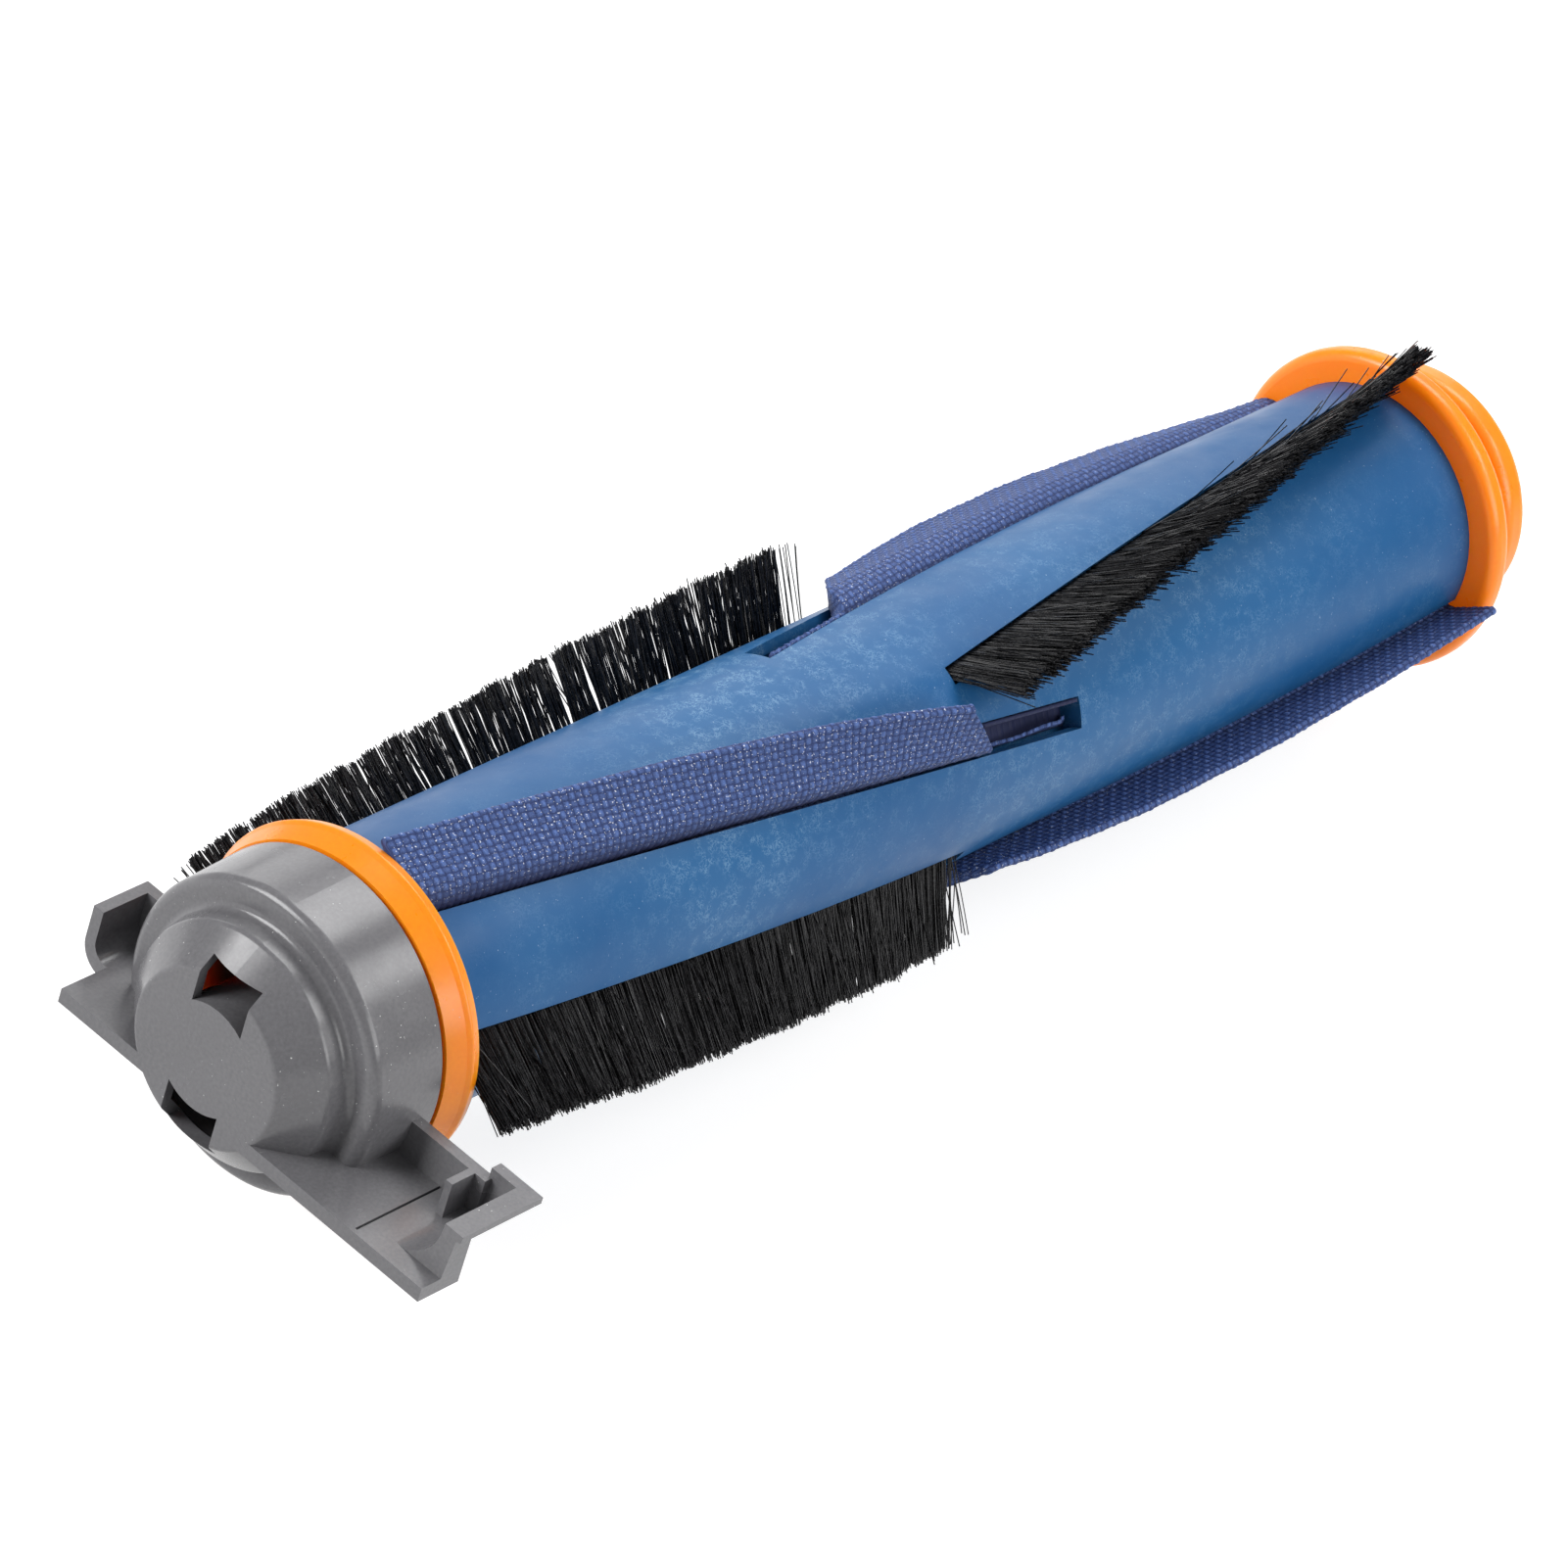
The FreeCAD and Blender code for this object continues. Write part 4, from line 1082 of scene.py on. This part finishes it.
last_tuft = maths("GREATER_THAN", tuft, maths("SUBTRACT", given["Tufts"], 1.5))
loose = maths("MULTIPLY", maths("GREATER_THAN", chance(0, 1, filament, 14), HELD_SHARE), last_tuft)
inward_way = maths("SIGN", pitch)
inward_tilt = maths("MULTIPLY", inward_way, maths("MULTIPLY", loose, chance(*LOOSE_TILT, filament, 15)))
drawn_in = maths("MULTIPLY", maths("MULTIPLY", in_tuft, inward_way), DRAWN_IN)
tilt_kept = maths("MULTIPLY_ADD", given["Gaps"], FILAMENT_TILT_LOSS, 1.0)
own_tilt = maths("MULTIPLY", swing(FILAMENT_TILT, filament, 12), tilt_kept)
group_tilt = maths("ADD", swing(TUFT_TILT, tuft, 11), swing(CLUMP_TILT, clump, 18))
apart = maths("MULTIPLY", group_tilt, given["Gaps"])
small_tilts = maths("ADD", own_tilt, maths("ADD", wild_tilt, maths("ADD", inward_tilt, drawn_in)))
tilt = maths("ADD", maths("ADD", given["Tilt"], apart), small_tilts)

room_below = maths("SUBTRACT", maths("MINIMUM", given["Start"], given["End"]), root_x)
room_above = maths("SUBTRACT", maths("MAXIMUM", given["Start"], given["End"]), root_x)
bounded_low = maths("MAXIMUM", tilt, maths("DIVIDE", room_below, length))
bounded_high = maths("MINIMUM", tilt, maths("DIVIDE", room_above, length))
near_disc = maths("LESS_THAN", given["Start"], given["Middle"])
far_disc = maths("SUBTRACT", 1.0, near_disc)
near_tilt = maths("MULTIPLY", near_disc, bounded_low)
held_tilt = maths("ADD", near_tilt, maths("MULTIPLY", far_disc, bounded_high))
way = about_x(combined(held_tilt, maths("COSINE", lean), maths("SINE", lean)), root_angle)
print("bristle rule has", len(bristle_rule.nodes), "nodes so far")

# %% [markdown]
# ## One filament, set many times
# A filament is a straight tube with three sides, one unit long, a little bowed. More sides wouldn't show at
# two tenths of a millimetre. It is set at every root along its own way and rolled about itself, so the bows
# differ. The last tuft of a near row has lost most of its filaments, so most of its points are left out.

# %% Bristle filaments
FILAMENT_SIDES = 3
FILAMENT_STEPS = 5
BOW = 2.2
LOST_SHARE = 0.86

line = add(bristle_rule, "GeometryNodeCurvePrimitiveLine", at={"End": (0, 0, 1)})
divided = add(bristle_rule, "GeometryNodeResampleCurve", at={"Count": FILAMENT_STEPS})
ring = add(bristle_rule, "GeometryNodeCurvePrimitiveCircle",
           at={"Resolution": FILAMENT_SIDES, "Radius": 0.5})
tube = add(bristle_rule, "GeometryNodeCurveToMesh", at={"Fill Caps": True})
link(line.outputs[0], divided.inputs["Curve"])
link(divided.outputs[0], tube.inputs["Curve"])
link(ring.outputs[0], tube.inputs["Profile Curve"])
height = split(bristle_rule, add(bristle_rule, "GeometryNodeInputPosition").outputs[0])["Z"]
bowed = add(bristle_rule, "GeometryNodeSetPosition")
link(tube.outputs[0], bowed.inputs["Geometry"])
link(combined(maths("MULTIPLY", maths("POWER", height, 2.0), BOW), 0, 0), bowed.inputs["Offset"])

aligned = add(bristle_rule, "FunctionNodeAlignRotationToVector", axis="Z")
link(way, aligned.inputs["Vector"])
roll = add(bristle_rule, "FunctionNodeEulerToRotation")
link(combined(0, 0, chance(0, 2 * math.pi, filament, 13)), roll.inputs[0])
rolled = add(bristle_rule, "FunctionNodeRotateRotation", rotation_space="LOCAL")
link(aligned.outputs[0], rolled.inputs["Rotation"])
link(roll.outputs[0], rolled.inputs["Rotate By"])
lost = maths("LESS_THAN", chance(0, 1, filament, 16), LOST_SHARE)
thinned = maths("MULTIPLY", maths("MULTIPLY", last_tuft, near_disc), lost)

row_of_all = add(bristle_rule, "GeometryNodeInstanceOnPoints")
link(roots.outputs[0], row_of_all.inputs["Points"])
link(maths("SUBTRACT", 1.0, thinned), row_of_all.inputs["Selection"])
link(bowed.outputs[0], row_of_all.inputs["Instance"])
link(rolled.outputs[0], row_of_all.inputs["Rotation"])
link(combined(given["Thickness"], given["Thickness"], length), row_of_all.inputs["Scale"])
real = add(bristle_rule, "GeometryNodeRealizeInstances")
link(row_of_all.outputs[0], real.inputs[0])
finish = add(bristle_rule, "GeometryNodeSetMaterial")
link(real.outputs[0], finish.inputs["Geometry"])
link(given["Material"], finish.inputs["Material"])
link(finish.outputs[0], add(bristle_rule, "NodeGroupOutput").inputs[0])
print("bristle rule has", len(bristle_rule.nodes), "nodes")

# %% [markdown]
# ## Four bristle rows
# Each row is the same rule with its own inputs and seed. One near row is worn: it has fewer filaments, on a
# narrower root, and shows gaps. The modifier's inputs are set by their identifiers before it is first
# evaluated, and the result becomes a plain mesh, because a live modifier would be lost in the export.

# %% Bristle rows
BRISTLE_LEAN = math.radians(41.5)
BRISTLE_TILT = 0.10
BRISTLE_LENGTH = 14.9 * MM
BRISTLE_ROOT_OUT = CORE_RADIUS - 1.2 * MM
BRISTLE_ROOT_SHIFT = -0.75 * MM
FILAMENT_THICKNESS = 0.21 * MM
TUFTS = 30
GAPS = {"near_1": 0.1, "near_2": 1.0, "far_1": 0.5, "far_2": 0.5}
ROOT_WIDTH = {"near_1": 2.2 * MM, "near_2": 1.2 * MM, "far_1": 2.2 * MM, "far_2": 2.2 * MM}
FILAMENTS = {"near_1": 104, "near_2": 64, "far_1": 104, "far_2": 104}
FIRST_ROW_SEED = 11
COPY_ROW_SEED = 7
FAR_ROW_SEED = 40


def grown(name, values):
    """A plain mesh object that the bristle rule makes from these inputs."""
    maker = bpy.data.objects.new(name, bpy.data.meshes.new(name))
    bpy.context.collection.objects.link(maker)
    modifier = maker.modifiers.new("bristles", "NODES")
    modifier.node_group = bristle_rule
    for item in bristle_rule.interface.items_tree:
        if item.in_out == "INPUT":
            modifier[item.identifier] = values[item.name]
    evaluated = maker.evaluated_get(bpy.context.evaluated_depsgraph_get())
    mesh = bpy.data.meshes.new_from_object(evaluated)
    mesh.name = name
    maker.modifiers.remove(modifier)
    maker.data = mesh
    return maker


for near_half in (True, False):
    for copy in (0, 1):
        place = strip_name(near_half, copy)
        angle, turn = strip_turn(near_half, True, copy)
        inner, disc_end = strip_ends(near_half, True)
        row = grown("bristles_" + place, {
            "Start": disc_end, "End": inner, "Middle": CORE_MIDDLE, "Angle at middle": angle,
            "Turn per metre": turn, "Root out": BRISTLE_ROOT_OUT, "Root width": ROOT_WIDTH[place],
            "Root shift": BRISTLE_ROOT_SHIFT, "Gaps": GAPS[place], "Length": BRISTLE_LENGTH,
            "Lean": BRISTLE_LEAN, "Tilt": -BRISTLE_TILT if near_half else BRISTLE_TILT,
            "Thickness": FILAMENT_THICKNESS, "Tufts": TUFTS, "Filaments per tuft": FILAMENTS[place],
            "Seed": FIRST_ROW_SEED + COPY_ROW_SEED * copy + (0 if near_half else FAR_ROW_SEED),
            "Material": black_bristle})
        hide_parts("bristle_row_" + place)
        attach(row, "roller")
        print(row.name, len(row.data.polygons), "faces")
